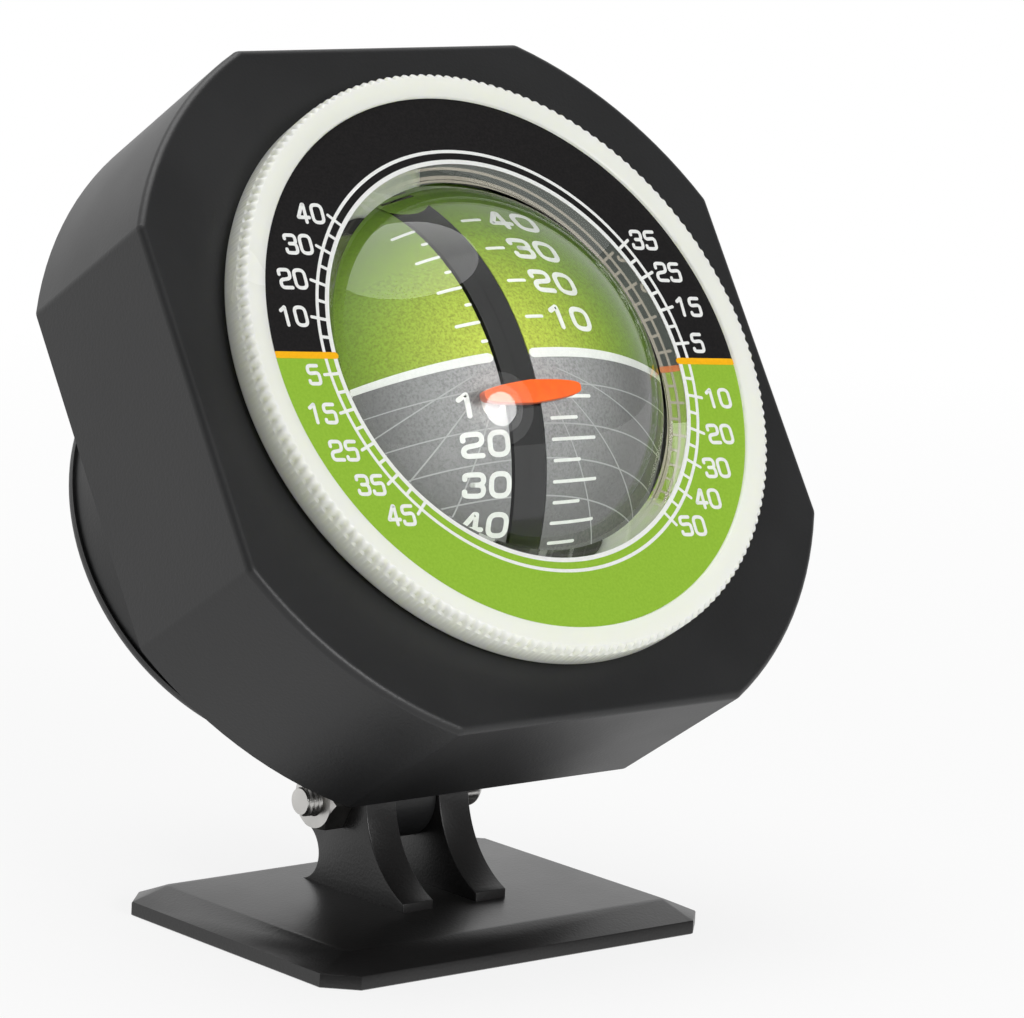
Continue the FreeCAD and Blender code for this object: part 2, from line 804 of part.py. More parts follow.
def vent_cap():
    """Slotted rear cap with a rounded rim and a skirt inside the tube."""
    body = disc(cap_radius, cap_front_y, cap_back_y)
    body = body.makeFillet(cap_edge_round, edges_at_depth(body, cap_back_y))
    skirt_outer = boss_bore_radius - running_clearance
    skirt = ring(skirt_outer, skirt_outer - cap_skirt_thickness, cap_front_y - cap_skirt_length,
                 cap_front_y + running_clearance)
    slots = []
    for place in range(-2, 3):
        half = slot_length_shares[abs(place)] * cap_radius / 2
        slots.append(slot(place * (slot_width + slot_gap), half))
    return body.fuse(skirt).cut(Part.makeCompound(slots)).removeSplitter()


def slot(x, half):
    """A round-ended upright slot through the cap."""
    r = slot_width / 2
    y0 = cap_front_y - overrun
    y1 = cap_back_y + overrun
    middle = block(x - r, x + r, y0, y1, -half + r, half - r)
    return middle.fuse([disc(r, y0, y1, x, half - r), disc(r, y0, y1, x, r - half)])


def dome_lens():
    """Clear front dome with a straight skirt and a flange."""
    inner_radius = dome_radius - dome_wall
    skirt_inner = capsule_radius - dome_wall
    flange_back = dome_flange_y + capsule_flange_thickness
    outer_end = V(capsule_radius, sphere_y(dome_radius, dome_centre_y, capsule_radius), 0)
    inner_end = V(skirt_inner, sphere_y(inner_radius, dome_centre_y, skirt_inner), 0)
    edges = [front_arc(dome_radius, dome_centre_y, 0, capsule_radius)]
    edges += lines([
        outer_end, V(capsule_radius, dome_flange_y, 0), V(capsule_flange_radius, dome_flange_y, 0),
        V(capsule_flange_radius, flange_back, 0), V(skirt_inner, flange_back, 0), inner_end])
    edges.append(front_arc(inner_radius, dome_centre_y, 0, skirt_inner))
    edges += lines([V(0, -dome_apex + dome_wall, 0), V(0, -dome_apex, 0)])
    return turned_wire(edges)


def capsule_bowl():
    """Clear rear bowl round the ball, flat at the back where the bearing sits."""
    inner = capsule_inner_radius
    back = bowl_back_y + bowl_back_thickness
    outside = disc(capsule_radius, bowl_flange_y, ball_centre_y)
    outside = outside.fuse(half_ball(capsule_radius, back))
    outside = outside.fuse(disc(bowl_back_radius, bowl_back_y, back))
    outside = outside.fuse(disc(capsule_flange_radius, bowl_flange_y, bowl_seat_y))
    inside = disc(inner, bowl_flange_y - overrun, ball_centre_y)
    inside = inside.fuse(half_ball(inner, bowl_back_y))
    holes = [disc(bearing_radius + running_clearance, bowl_back_y - overrun, back + overrun)]
    for k in range(pressure_hole_count):
        x, z = polar(pressure_hole_place, full_turn_deg * k / pressure_hole_count)
        holes.append(disc(pressure_hole_radius, bowl_back_y - overrun, back + overrun, x, z))
    return outside.cut(inside).cut(Part.makeCompound(holes)).removeSplitter()


def half_ball(radius, flat_y):
    """The rear half of a ball round the ball's centre, cut flat at the given depth."""
    ball = Part.makeSphere(radius, V(0, ball_centre_y, 0))
    return ball.common(block(-radius, radius, ball_centre_y, flat_y, -radius, radius))


def capsule_seal():
    return ring(seal_inner_radius + seal_width, seal_inner_radius, seal_y, bowl_flange_y)


def capsule_clamp():
    """Ring with four ears that presses the dome's flange onto the bowl's."""
    body = ring(capsule_flange_radius, clamp_inner_radius, clamp_y, dome_flange_y)
    ears = []
    holes = []
    for angle in clamp_screw_angles:
        x, z = polar(clamp_circle_radius, angle)
        arm = block(clamp_inner_radius + clamp_gap, clamp_circle_radius, clamp_y, dome_flange_y,
                    -clamp_ear_radius, clamp_ear_radius)
        arm.rotate(ORIGIN, Y_AXIS, -angle)
        ears += [disc(clamp_ear_radius, clamp_y, dome_flange_y, x, z), arm]
        holes.append(disc(clamp_screw_shank_radius + running_clearance, clamp_y - overrun,
                          dome_flange_y + overrun, x, z))
    holes.append(disc(clamp_inner_radius, clamp_y - overrun, dome_flange_y + overrun))
    return body.fuse(ears).cut(Part.makeCompound(holes)).removeSplitter()


def clamp_screws():
    screws = []
    for x, z in clamp_screw_places():
        head = disc(clamp_screw_head_radius, clamp_y - clamp_screw_head_height, clamp_y, x, z)
        shank = disc(clamp_screw_shank_radius, clamp_y - running_clearance,
                     clamp_y + clamp_screw_length, x, z)
        screws.append(head.fuse(shank))
    return Part.makeCompound(screws)


def diaphragm():
    """Corrugated ring behind the bowl, in concentric waves."""
    y0 = bowl_back_y + bowl_back_thickness
    inner = bearing_radius + running_clearance
    waves = 2 * diaphragm_ring_count
    pitch = (diaphragm_radius - inner) / waves
    front = []
    back = []
    for k in range(waves + 1):
        r = inner + pitch * k
        lift = diaphragm_wave if k % 2 else 0
        front.append((r, y0 + lift))
        back.append((r, y0 + lift + diaphragm_thickness))
    return turned(front + back[::-1])


def roll_bearing():
    """Brass bush in the bowl's back, blind at the rear."""
    bush = disc(bearing_radius, bearing_front_y, bearing_back_y)
    return bush.cut(disc(shaft_radius + running_clearance, bearing_front_y - overrun,
                         shaft_end_y() + shaft_end_gap))


def shaft_end_y():
    return bowl_back_y + bowl_back_thickness / 2


def bezel_ring():
    """Turning bezel: toothed front rim, smooth side and a spigot through the housing."""
    front = -bezel_height
    rim = front + bezel_tooth_length
    spigot_end = spigot_length
    dial_back = -dial_front + dial_thickness
    body = turned([
        (bezel_opening, front + bezel_rim_drop), (bezel_radius - bezel_tooth_depth, front),
        (bezel_radius - bezel_tooth_depth, rim), (bezel_radius, rim),
        (bezel_radius, -bezel_lift - bezel_side_chamfer),
        (bezel_radius - bezel_side_chamfer, -bezel_lift),
        (spigot_radius, -bezel_lift), (spigot_radius, spigot_end),
        (bezel_lip_radius, spigot_end), (bezel_lip_radius, dial_back), (bezel_opening, dial_back)])
    body = body.cut(ring(snap_ring_radius, spigot_radius - snap_groove_depth, snap_ring_y(),
                         snap_ring_y() + snap_ring_thickness))
    return body.fuse(tooth_crown(front, rim)).removeSplitter()


def tooth_crown(y0, y1):
    """Band of fine teeth round the bezel's front edge."""
    step = full_turn_deg / bezel_tooth_count
    points = []
    for k in range(bezel_tooth_count):
        for turn, radius in ((0, bezel_radius - bezel_tooth_depth), (tooth_crest_share, bezel_radius)):
            x, z = polar(radius, step * (k + turn))
            points.append(V(x, y0 + bezel_rim_drop, z))
    crown = polygon_face(points).extrude(V(0, y1 - y0 - bezel_rim_drop, 0))
    inner = bezel_radius - 2 * bezel_tooth_depth
    return crown.cut(disc(inner, y0 - overrun, y1 + overrun))


def snap_ring_y():
    return front_wall + bezel_lift


def bezel_retainer():
    """Split snap ring in the spigot's groove, behind the housing's front wall."""
    inner = spigot_radius - snap_groove_depth + running_clearance
    y0 = snap_ring_y() + running_clearance
    y1 = y0 + snap_ring_thickness - 2 * running_clearance
    body = ring(snap_ring_radius - snap_groove_depth, inner, y0, y1)
    half = snap_ring_gap / 2
    return body.cut(block(-half, half, y0 - overrun, y1 + overrun, 0, snap_ring_radius))


def dial_plate():
    """Clear ring, printed on its front, whose window is bevelled down to the dome."""
    back = dial_thickness - dial_front
    wide = math.sqrt(dome_radius ** 2 - (dome_centre_y - back) ** 2) + dial_clearance
    return turned([
        (dial_window_radius, -dial_front), (bezel_opening - running_clearance, -dial_front),
        (bezel_opening - running_clearance, back), (wide, back)])


def roll_carrier():
    """Disc between the ball's halves: its rim is the black band, its hub holds the shaft."""
    t = carrier_half_thickness
    c = ball_centre_y
    plate = cross_bar(carrier_radius, -t, t, c, 0)
    plate = plate.common(block(-t, t, 0 - carrier_radius, c + carrier_back,
                               -carrier_radius, carrier_radius))
    neck = block(-t, t, c, c + hub_back, -hub_half_height, hub_half_height)
    hub = block(-hub_half_width, hub_half_width, c + hub_front, c + hub_back,
                -hub_half_height, hub_half_height)
    stem = block(-pointer_stem_width / 2, pointer_stem_width / 2,
                 c - carrier_radius - pointer_gap, c - carrier_radius + pointer_thickness,
                 -pointer_tip_radius, pointer_tip_radius)
    stem.rotate(V(0, c, 0), X_AXIS, index_angle_deg)
    body = plate.fuse([neck, hub, stem])
    clear = running_clearance
    cuts = [
        cross_bar(axle_radius + clear, -t - overrun, t + overrun, c, 0),
        cross_bar(roll_weight_radius + clear, -t - overrun, t + overrun, c, -roll_weight_place),
        disc(shaft_radius + clear, c + hub_front, c + hub_back + overrun)]
    return body.cut(Part.makeCompound(cuts)).removeSplitter()


def roll_weight():
    t = carrier_half_thickness
    return cross_bar(roll_weight_radius, -t, t, ball_centre_y, -roll_weight_place)


def roll_shaft():
    return disc(shaft_radius, ball_centre_y + hub_front + running_clearance, shaft_end_y())


def pointer():
    """Spindle-shaped index bar across the band."""
    c = ball_centre_y
    y1 = c - carrier_radius - pointer_gap
    y0 = y1 - pointer_thickness
    straight = pointer_half_length - pointer_tip_radius
    points = [V(-straight, y0, -pointer_tip_radius), V(0, y0, -pointer_half_height),
              V(straight, y0, -pointer_tip_radius), V(straight, y0, pointer_tip_radius),
              V(0, y0, pointer_half_height), V(-straight, y0, pointer_tip_radius)]
    upper = Part.Arc(points[5], points[4], points[3]).toShape()
    lower = Part.Arc(points[0], points[1], points[2]).toShape()
    right = Part.Arc(points[3], V(pointer_half_length, y0, 0), points[2]).toShape()
    left = Part.Arc(points[0], V(-pointer_half_length, y0, 0), points[5]).toShape()
    wire = Part.Wire([upper, right, lower, left])
    bar = Part.Face(wire).extrude(V(0, pointer_thickness, 0))
    bar.rotate(V(0, c, 0), X_AXIS, index_angle_deg)
    return bar


def ball_half(side):
    """Printed half shell with a web and a hub on its inner face."""
    c = ball_centre_y
    centre = V(0, c, 0)
    inner_face = ball_inner_face
    web = inner_face + web_thickness
    big = ball_radius + overrun
    front = block(-big, big, c - big, c + ball_back, -big, big)
    outer = Part.makeSphere(ball_radius, centre).common(half_space(side, inner_face, big))
    hollow = Part.makeSphere(ball_radius - ball_wall, centre).common(half_space(side, web, big))
    hub = cross_bar(ball_hub_radius, inner_face, axle_half_length + axle_radius, c, 0)
    if side < 0:
        hub = mirrored(hub)
    body = outer.cut(hollow).common(front).fuse([hub, weight_cup(side)])
    bore = cross_bar(axle_radius + running_clearance, -axle_half_length - running_clearance,
                     axle_half_length + running_clearance, c, 0)
    return body.cut(bore).cut(ball_weight(side, running_clearance)).removeSplitter()


def half_space(side, start, big):
    c = ball_centre_y
    if side > 0:
        return block(start, big, c - big, c + big, -big, big)
    return block(-big, -start, c - big, c + big, -big, big)


def weight_cup(side):
    """Cup for the weight, behind and below the axle, on a rib that rises from the shell."""
    start = hub_half_width + ball_weight_gap
    y = ball_centre_y + ball_weight_back
    z = -ball_weight_drop
    half = ball_rib_half_width
    cup = cross_bar(ball_weight_radius + ball_weight_wall, start, start + ball_weight_length / 2, y, z)
    rib = block(start, start + web_thickness, y - half, y + half, z - ball_radius, z)
    rib.rotate(V(0, y, z), X_AXIS, -ball_rib_lean_deg)
    rib = rib.common(Part.makeSphere(ball_radius - ball_wall / 2, V(0, ball_centre_y, 0)))
    body = cup.fuse(rib)
    return body if side > 0 else mirrored(body)


def mirrored(shape):
    return shape.mirror(ORIGIN, X_AXIS)


def ball_weight(side, clearance=0.0):
    bar = cross_bar(ball_weight_radius + clearance, ball_weight_start - clearance, ball_weight_end,
                    ball_centre_y + ball_weight_back, -ball_weight_drop)
    return bar if side > 0 else mirrored(bar)


def ball_weights():
    return Part.makeCompound([ball_weight(-1), ball_weight(1)])


def pitch_axle():
    return cross_bar(axle_radius, -axle_half_length, axle_half_length, ball_centre_y, 0)


def leaned(shape):
    """Moves a piece from the head's frame into the stand's, leaned back at the hinge."""
    shape = shape.copy()
    shape.translate(V(0, hinge_y - head_hinge_y, hinge_z - head_hinge_z))
    shape.rotate(V(0, hinge_y, hinge_z), X_AXIS, -lean_deg)
    return shape


def check_solids(name, shape):
    """Each piece has to be a valid closed solid, or a group of them."""
    if not shape.isValid() or not shape.Solids or shape.Volume <= 0:
        raise ValueError(name + " is not a valid solid")
    return shape


def build():
    stand = {
        "base_bracket": base_bracket(), "adhesive_pad": adhesive_pad(),
        "hinge_bolt": hinge_bolt(), "hinge_nut": hinge_nut()}
    head = {
        "front_housing": front_housing(), "rear_cover": rear_cover(), "cover_screws": cover_screws(),
        "vent_cap": vent_cap(), "lamp_lid": lamp_lid(), "lid_screw": lid_screw(),
        "button_cells": button_cells(), "contact_strip": contact_strip(),
        "contact_tabs": contact_tabs(), "lamp": lamp(), "light_switch": light_switch(),
        "switch_button": switch_button(), "dome_lens": dome_lens(), "capsule_bowl": capsule_bowl(),
        "capsule_seal": capsule_seal(), "capsule_clamp": capsule_clamp(),
        "clamp_screws": clamp_screws(), "diaphragm": diaphragm(), "roll_bearing": roll_bearing(),
        "bezel_ring": bezel_ring(), "bezel_retainer": bezel_retainer(), "dial_plate": dial_plate(),
        "roll_carrier": roll_carrier(), "roll_weight": roll_weight(), "roll_shaft": roll_shaft(),
        "pointer": pointer(), "ball_left": ball_half(-1), "ball_right": ball_half(1),
        "ball_weights": ball_weights(), "pitch_axle": pitch_axle()}
    nodes = dict(stand)
    for name, shape in head.items():
        nodes[name] = leaned(shape)
    return nodes


def main():
    os.makedirs("parts", exist_ok=True)
    for name, shape in build().items():
        check_solids(name, shape).exportStep("parts/" + name + ".step")


main()
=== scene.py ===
import json
import math
from collections import namedtuple

import bmesh
import bpy
from mathutils import Matrix, Vector


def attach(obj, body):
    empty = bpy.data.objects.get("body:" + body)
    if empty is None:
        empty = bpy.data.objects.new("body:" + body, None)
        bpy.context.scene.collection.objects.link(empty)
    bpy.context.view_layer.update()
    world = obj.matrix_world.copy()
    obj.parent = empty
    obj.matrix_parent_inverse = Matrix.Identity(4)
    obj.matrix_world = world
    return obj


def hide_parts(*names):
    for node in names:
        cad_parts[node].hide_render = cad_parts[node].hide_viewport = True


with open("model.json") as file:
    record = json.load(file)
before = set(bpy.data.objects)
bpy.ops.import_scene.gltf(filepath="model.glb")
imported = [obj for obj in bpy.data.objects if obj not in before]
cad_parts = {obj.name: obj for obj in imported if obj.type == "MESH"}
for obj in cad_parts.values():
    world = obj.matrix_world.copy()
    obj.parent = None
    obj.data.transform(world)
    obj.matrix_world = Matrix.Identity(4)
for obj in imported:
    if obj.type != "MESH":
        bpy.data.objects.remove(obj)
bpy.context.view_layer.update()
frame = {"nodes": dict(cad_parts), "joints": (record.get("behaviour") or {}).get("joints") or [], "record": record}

nodes = frame["nodes"]
joints = {j["name"]: j for j in frame["joints"]}
scene = bpy.context.scene
MM = 0.001
FULL_TURN = 2 * math.pi

# The head's own frame: origin on the dial's axis at the housing's face, Y backwards, Z up the dial.
dial_joint = joints["bezel_turn"]
HEAD_ORIGIN = Vector(dial_joint["pos_m"])
HEAD_X = Vector((1.0, 0.0, 0.0))
HEAD_Y = Vector(dial_joint["axis"]).normalized()
HEAD_Z = HEAD_X.cross(HEAD_Y)
HEAD = (Matrix.Translation(HEAD_ORIGIN)
        @ Matrix((HEAD_X, HEAD_Y, HEAD_Z)).transposed().to_4x4()
        @ Matrix.Scale(MM, 4))
STAND = Matrix.Scale(MM, 4)
LEAN = math.radians(33.0)

# Ball, dial and ring, in millimetres of the head's frame
BALL_CENTRE = Vector(joints["pitch_swing"]["pos_m"])
BALL_Y, BALL_R = 23.5, 25.0
DIAL_Y = -4.35
DIAL_TURN = math.radians(4.3)
PLATE_BACK = -2.65
WINDOW_R, WINDOW_BACK_R = 25.75, 24.05
OPENING_R = 34.6
BEZEL_R = 37.8


# Materials

class Tree:
    """Short names for adding and linking the shader nodes of a material or the world."""

    def __init__(self, owner, out_kind="ShaderNodeOutputMaterial"):
        owner.use_nodes = True
        self.owner = owner
        self.nodes, self.links = owner.node_tree.nodes, owner.node_tree.links
        self.nodes.clear()
        self.out = self.nodes.new(out_kind)

    def add(self, kind, **values):
        node = self.nodes.new(kind)
        for key, value in values.items():
            setattr(node, key, value)
        return node

    def feed(self, socket, value):
        """Give a socket a number, a colour, or a link to an output."""
        if isinstance(value, (int, float)):
            socket.default_value = value
        elif isinstance(value, tuple):
            socket.default_value = value + (1.0,)
        else:
            self.links.new(value, socket)

    def math(self, operation, *values):
        node = self.add("ShaderNodeMath", operation=operation)
        for socket, value in zip(node.inputs, values):
            self.feed(socket, value)
        return node.outputs[0]

    def coords(self, matrix=None):
        """Object coordinates, or the same in another frame's metres."""
        source = self.add("ShaderNodeTexCoord").outputs["Object"]
        if matrix is None:
            return source
        mapping = self.add("ShaderNodeMapping", vector_type="TEXTURE")
        place, turned, _ = matrix.decompose()
        mapping.inputs["Location"].default_value = place
        mapping.inputs["Rotation"].default_value = turned.to_euler()
        self.feed(mapping.inputs["Vector"], source)
        return mapping.outputs[0]

    def noise(self, coords, scale, detail=2.0, rough=0.5):
        node = self.add("ShaderNodeTexNoise")
        self.feed(node.inputs["Scale"], scale)
        self.feed(node.inputs["Detail"], detail)
        self.feed(node.inputs["Roughness"], rough)
        self.feed(node.inputs["Vector"], coords)
        return node.outputs["Fac"]

    def ramp(self, factor, stops):
        node = self.add("ShaderNodeValToRGB")
        elements = node.color_ramp.elements
        while len(elements) < len(stops):
            elements.new(0.5)
        for element, (place, colour) in zip(elements, stops):
            element.position = place
            element.color = (*colour, 1.0)
        self.feed(node.inputs[0], factor)
        return node.outputs["Color"]

    def spread(self, factor, low, high, start=0.0, end=1.0):
        """A factor that goes from start to end, spread over low to high."""
        node = self.add("ShaderNodeMapRange")
        for key, value in (("From Min", start), ("From Max", end), ("To Min", low),
                           ("To Max", high), ("Value", factor)):
            self.feed(node.inputs[key], value)
        return node.outputs[0]

    def mix(self, factor, a, b, blend="MIX"):
        node = self.add("ShaderNodeMix", data_type="RGBA", blend_type=blend)
        for index, value in ((0, factor), (6, a), (7, b)):
            self.feed(node.inputs[index], value)
        return node.outputs[2]

    def bump(self, height, distance, strength):
        node = self.add("ShaderNodeBump")
        self.feed(node.inputs["Distance"], distance)
        self.feed(node.inputs["Strength"], strength)
        self.feed(node.inputs["Height"], height)
        return node.outputs[0]

    def surface(self, colour, rough, normal=None, **constants):
        """The main shader, with plain constants on the sockets that are named."""
        shader = self.add("ShaderNodeBsdfPrincipled")
        for key, value in constants.items():
            shader.inputs[key.replace("_", " ")].default_value = value
        self.feed(shader.inputs["Base Color"], colour)
        self.feed(shader.inputs["Roughness"], rough)
        if normal is not None:
            self.feed(shader.inputs["Normal"], normal)
        self.show(shader)
        return shader

    def glow(self, kind, strength):
        """A plain white light of one strength."""
        shader = self.add(kind)
        self.feed(shader.inputs["Color"], (1.0, 1.0, 1.0))
        self.feed(shader.inputs["Strength"], strength)
        return shader

    def show_either(self, factor, shader, other):
        """Show one shader, and the other one as far as the factor says."""
        blend = self.add("ShaderNodeMixShader")
        self.feed(blend.inputs[0], factor)
        self.feed(blend.inputs[1], shader.outputs[0])
        self.feed(blend.inputs[2], other.outputs[0])
        self.show(blend)

    def show(self, shader):
        self.feed(self.out.inputs["Surface"], shader.outputs[0])


def material(name):
    return Tree(bpy.data.materials.new(name))


def scaled(colour, share):
    return tuple(v * share for v in colour)


def moulded(name, colour, rough, grain=2600.0, depth=0.00004, wear=0.1):
    """Moulded plastic with a fine grain and slightly uneven gloss."""
    t = material(name)
    c = t.coords()
    fine = t.noise(c, grain)
    broad = t.noise(c, 70.0, 3.0)
    tone = t.ramp(broad, [(0.35, scaled(colour, 1.0 - wear)), (0.65, scaled(colour, 1.0 + wear))])
    t.surface(tone, t.spread(broad, rough - 0.06, rough + 0.06), t.bump(fine, depth, 0.6))
    return t.owner


def metal(name, colour, rough):
    """Plated or turned metal with fine tool marks and small stains."""
    t = material(name)
    c = t.coords()
    fine = t.noise(c, 900.0, 3.0)
    broad = t.noise(c, 160.0)
    tone = t.ramp(broad, [(0.3, scaled(colour, 0.82)), (0.7, colour)])
    gloss = t.spread(fine, rough - 0.08, rough + 0.12)
    t.surface(tone, gloss, t.bump(fine, 0.00002, 0.5), Metallic=1.0)
    return t.owner


def glow_ring():
    """Pale glow plastic: glossy and milky, so that light evens out inside it."""
    t = material("glow_plastic")
    cloud = t.noise(t.coords(), 60.0)
    tone = t.ramp(cloud, [(0.3, (0.855, 0.870, 0.790)), (0.7, (0.875, 0.890, 0.815))])
    t.surface(tone, t.spread(cloud, 0.22, 0.30), Subsurface_Weight=1.0,
              Subsurface_Radius=(1.0, 1.0, 0.85), Subsurface_Scale=0.0022)
    return t.owner


def upper_half(t):
    """1 on the dial's upper half and 0 below its middle line."""
    move = t.add("ShaderNodeVectorMath", operation="SUBTRACT")
    t.feed(move.inputs[0], t.coords())
    move.inputs[1].default_value = HEAD_ORIGIN
    dot = t.add("ShaderNodeVectorMath", operation="DOT_PRODUCT")
    t.feed(dot.inputs[0], move.outputs[0])
    dot.inputs[1].default_value = HEAD_Z * math.cos(DIAL_TURN) + HEAD_X * math.sin(DIAL_TURN)
    return t.math("GREATER_THAN", dot.outputs["Value"], 0.0)


def dial_print():
    """Ground print: black above the middle line, green below."""
    t = material("dial_print")
    above = upper_half(t)
    c = t.coords()
    grain = t.noise(c, 3200.0)
    cloud = t.noise(c, 120.0)
    green = t.ramp(grain, [(0.3, (0.262, 0.462, 0.036)), (0.7, (0.308, 0.520, 0.048))])
    green = t.mix(t.spread(cloud, 0.0, 0.35), green, (0.257, 0.465, 0.036))
    black = t.ramp(grain, [(0.3, (0.006, 0.0055, 0.006)), (0.7, (0.012, 0.011, 0.011))])
    t.surface(t.mix(above, green, black), t.spread(grain, 0.38, 0.5),
              t.bump(grain, 0.00003, 0.4), Specular_IOR_Level=0.2)
    return t.owner


def translucent(t, colour):
    """Thin ink that shows the light that falls on its other side."""
    through = t.add("ShaderNodeBsdfTranslucent")
    t.feed(through.inputs["Color"], colour)
    t.show(through)


def dial_print_back():
    """The ground print seen from behind, where light comes through it."""
    t = material("dial_print_back")
    cloud = t.noise(t.coords(), 300.0)
    green = t.ramp(cloud, [(0.3, (0.30, 0.40, 0.09)), (0.7, (0.34, 0.44, 0.11))])
    black = t.ramp(cloud, [(0.3, (0.115, 0.125, 0.115)), (0.7, (0.135, 0.145, 0.130))])
    translucent(t, t.mix(upper_half(t), green, black))
    return t.owner


def ink_back(name, colour):
    """Figures and lines seen from behind."""
    t = material(name)
    grain = t.noise(t.coords(), 1500.0)
    translucent(t, t.ramp(grain, [(0.3, scaled(colour, 0.92)), (0.7, colour)]))
    return t.owner


def ink(name, colour):
    """Printed figures and lines, with a fine grain."""
    t = material(name)
    grain = t.noise(t.coords(), 2800.0)
    tone = t.ramp(grain, [(0.3, scaled(colour, 0.93)), (0.7, colour)])
    t.surface(tone, 0.45, t.bump(grain, 0.00002, 0.3), Specular_IOR_Level=0.35)
    return t.owner


def ball_print():
    """Printed shell: green sky above the white line, grey ground below, both speckled, with painted shade that
    darkens both out towards the ball's rim and a painted light in the middle.
    """
    t = material("ball_print")
    c = t.coords(Matrix.Translation(BALL_CENTRE) @ Matrix.Rotation(-LEAN, 4, "X"))
    parts = t.add("ShaderNodeSeparateXYZ")
    t.feed(parts.inputs[0], c)
    x, z = parts.outputs["X"], parts.outputs["Z"]
    above = t.math("GREATER_THAN", z, 0.0003)
    # Painted shade: distance from the middle of the ball's front view, which darkens the print out to its rim
    painted_shade_at = t.math("SQRT", t.math("ADD", t.math("MULTIPLY", x, x), t.math("MULTIPLY", z, z)))
    painted_shade_at = t.math("DIVIDE", painted_shade_at, BALL_R * MM)
    grain = t.noise(c, 3300.0, 3.0, 0.65)
    painted_shade_at = t.math("ADD", painted_shade_at, t.math("MULTIPLY", t.math("SUBTRACT", grain, 0.5), 0.5))
    # Painted light and shade in these ramps: bright in the middle of the front view, dark at the rim
    sky_with_painted_shade = t.ramp(painted_shade_at, [(0.0, (0.50, 0.56, 0.080)), (0.3, (0.37, 0.46, 0.060)),
                       (0.6, (0.21, 0.33, 0.035)), (0.82, (0.11, 0.21, 0.016)),
                       (1.0, (0.06, 0.14, 0.008))])
    ground_with_painted_shade = t.ramp(painted_shade_at, [(0.0, (0.42, 0.42, 0.43)), (0.35, (0.30, 0.30, 0.305)),
                          (0.7, (0.145, 0.142, 0.147)), (1.0, (0.085, 0.082, 0.087))])
    speck = t.ramp(grain, [(0.34, (0.66, 0.66, 0.66)), (0.66, (1.32, 1.32, 1.32))])
    tone = t.mix(1.0, t.mix(above, ground_with_painted_shade, sky_with_painted_shade), speck, "MULTIPLY")
    t.surface(tone, 0.5, Specular_IOR_Level=0.3)
    return t.owner


def clear(name, index, haze):
    """Clear refracting body that lets the lamps' light through."""
    t = material(name)
    cloud = t.noise(t.coords(), 45.0)
    shader = t.surface((0.97, 0.99, 0.97), t.spread(cloud, 0.0, haze), IOR=index,
                       Transmission_Weight=1.0)
    through = t.add("ShaderNodeBsdfTransparent")
    t.feed(through.inputs["Color"], (0.96, 0.98, 0.96))
    path = t.add("ShaderNodeLightPath")
    t.show_either(path.outputs["Is Shadow Ray"], shader, through)
    return t.owner


def gloss_black():
    """Glossy black plastic of the carrier's rim."""
    t = material("carrier_plastic")
    cloud = t.noise(t.coords(), 90.0)
    tone = t.ramp(cloud, [(0.3, (0.004, 0.004, 0.0045)), (0.7, (0.007, 0.007, 0.0075))])
    t.surface(tone, t.spread(cloud, 0.08, 0.16))
    return t.owner


def orange_plastic():
    """Bright orange plastic of the pointer."""
    t = material("pointer_orange")
    cloud = t.noise(t.coords(), 900.0, 3.0)
    t.surface(t.ramp(cloud, [(0.3, (0.92, 0.105, 0.003)), (0.7, (1.0, 0.135, 0.004))]), 0.35)
    return t.owner


# Liquid and dome refract as one body, and the dial's plate as harder clear plastic.
LIQUID_INDEX, PLATE_INDEX = 1.40, 1.58
FINISH = {
    "stand_plastic": moulded("stand_plastic", (0.0125, 0.0120, 0.0120), rough=0.33),
    "housing_plastic": moulded("housing_plastic", (0.0105, 0.0107, 0.0112), rough=0.44),
    "steel": metal("zinc_plate", (0.62, 0.61, 0.59), rough=0.3),
    "black_steel": metal("black_oxide", (0.05, 0.05, 0.052), rough=0.34),
    "brass": metal("turned_brass", (0.72, 0.42, 0.20), rough=0.28),
    "foam_tape": moulded("foam_tape", (0.05, 0.05, 0.05), rough=0.9, grain=1500.0, depth=0.0002),
    "seal_rubber": moulded("seal_rubber", (0.03, 0.03, 0.03), rough=0.7),
    "weight_metal": metal("cast_weight", (0.30, 0.30, 0.31), rough=0.5),
    "cell_steel": metal("cell_can", (0.70, 0.70, 0.70), rough=0.2),
    "contact_metal": metal("contact_brass", (0.78, 0.62, 0.30), rough=0.25),
    "lamp_resin": moulded("lamp_resin", (0.85, 0.86, 0.84), rough=0.2, wear=0.02),
    "switch_plastic": moulded("switch_plastic", (0.05, 0.05, 0.05), rough=0.4),
    "button_plastic": moulded("button_plastic", (0.02, 0.02, 0.021), rough=0.3),
    "glow_plastic": glow_ring(),
    "dial_print": dial_print(),
    "ball_print": ball_print(),
    "clear_plastic": clear("clear_plastic", LIQUID_INDEX, 0.02),
    "carrier_plastic": gloss_black(),
    "pointer_orange": orange_plastic(),
}
dial_ink_back = dial_print_back()
white_ink = ink("white_figures", (0.86, 0.87, 0.85))
white_back = ink_back("white_figures_back", (0.44, 0.41, 0.36))
grid_ink = ink("ball_grid", (0.44, 0.44, 0.45))
orange_ink = ink("dial_orange_line", (0.98, 0.48, 0.004))
orange_back = ink_back("dial_orange_back", (0.62, 0.26, 0.12))
clear_plate = clear("clear_plate", PLATE_INDEX, 0.03)

for part in frame["record"]["subparts"]:
    mesh = nodes[part["node"]].data
    mesh.materials.clear()
    mesh.materials.append(FINISH[part["material_slot"]])


# Meshes

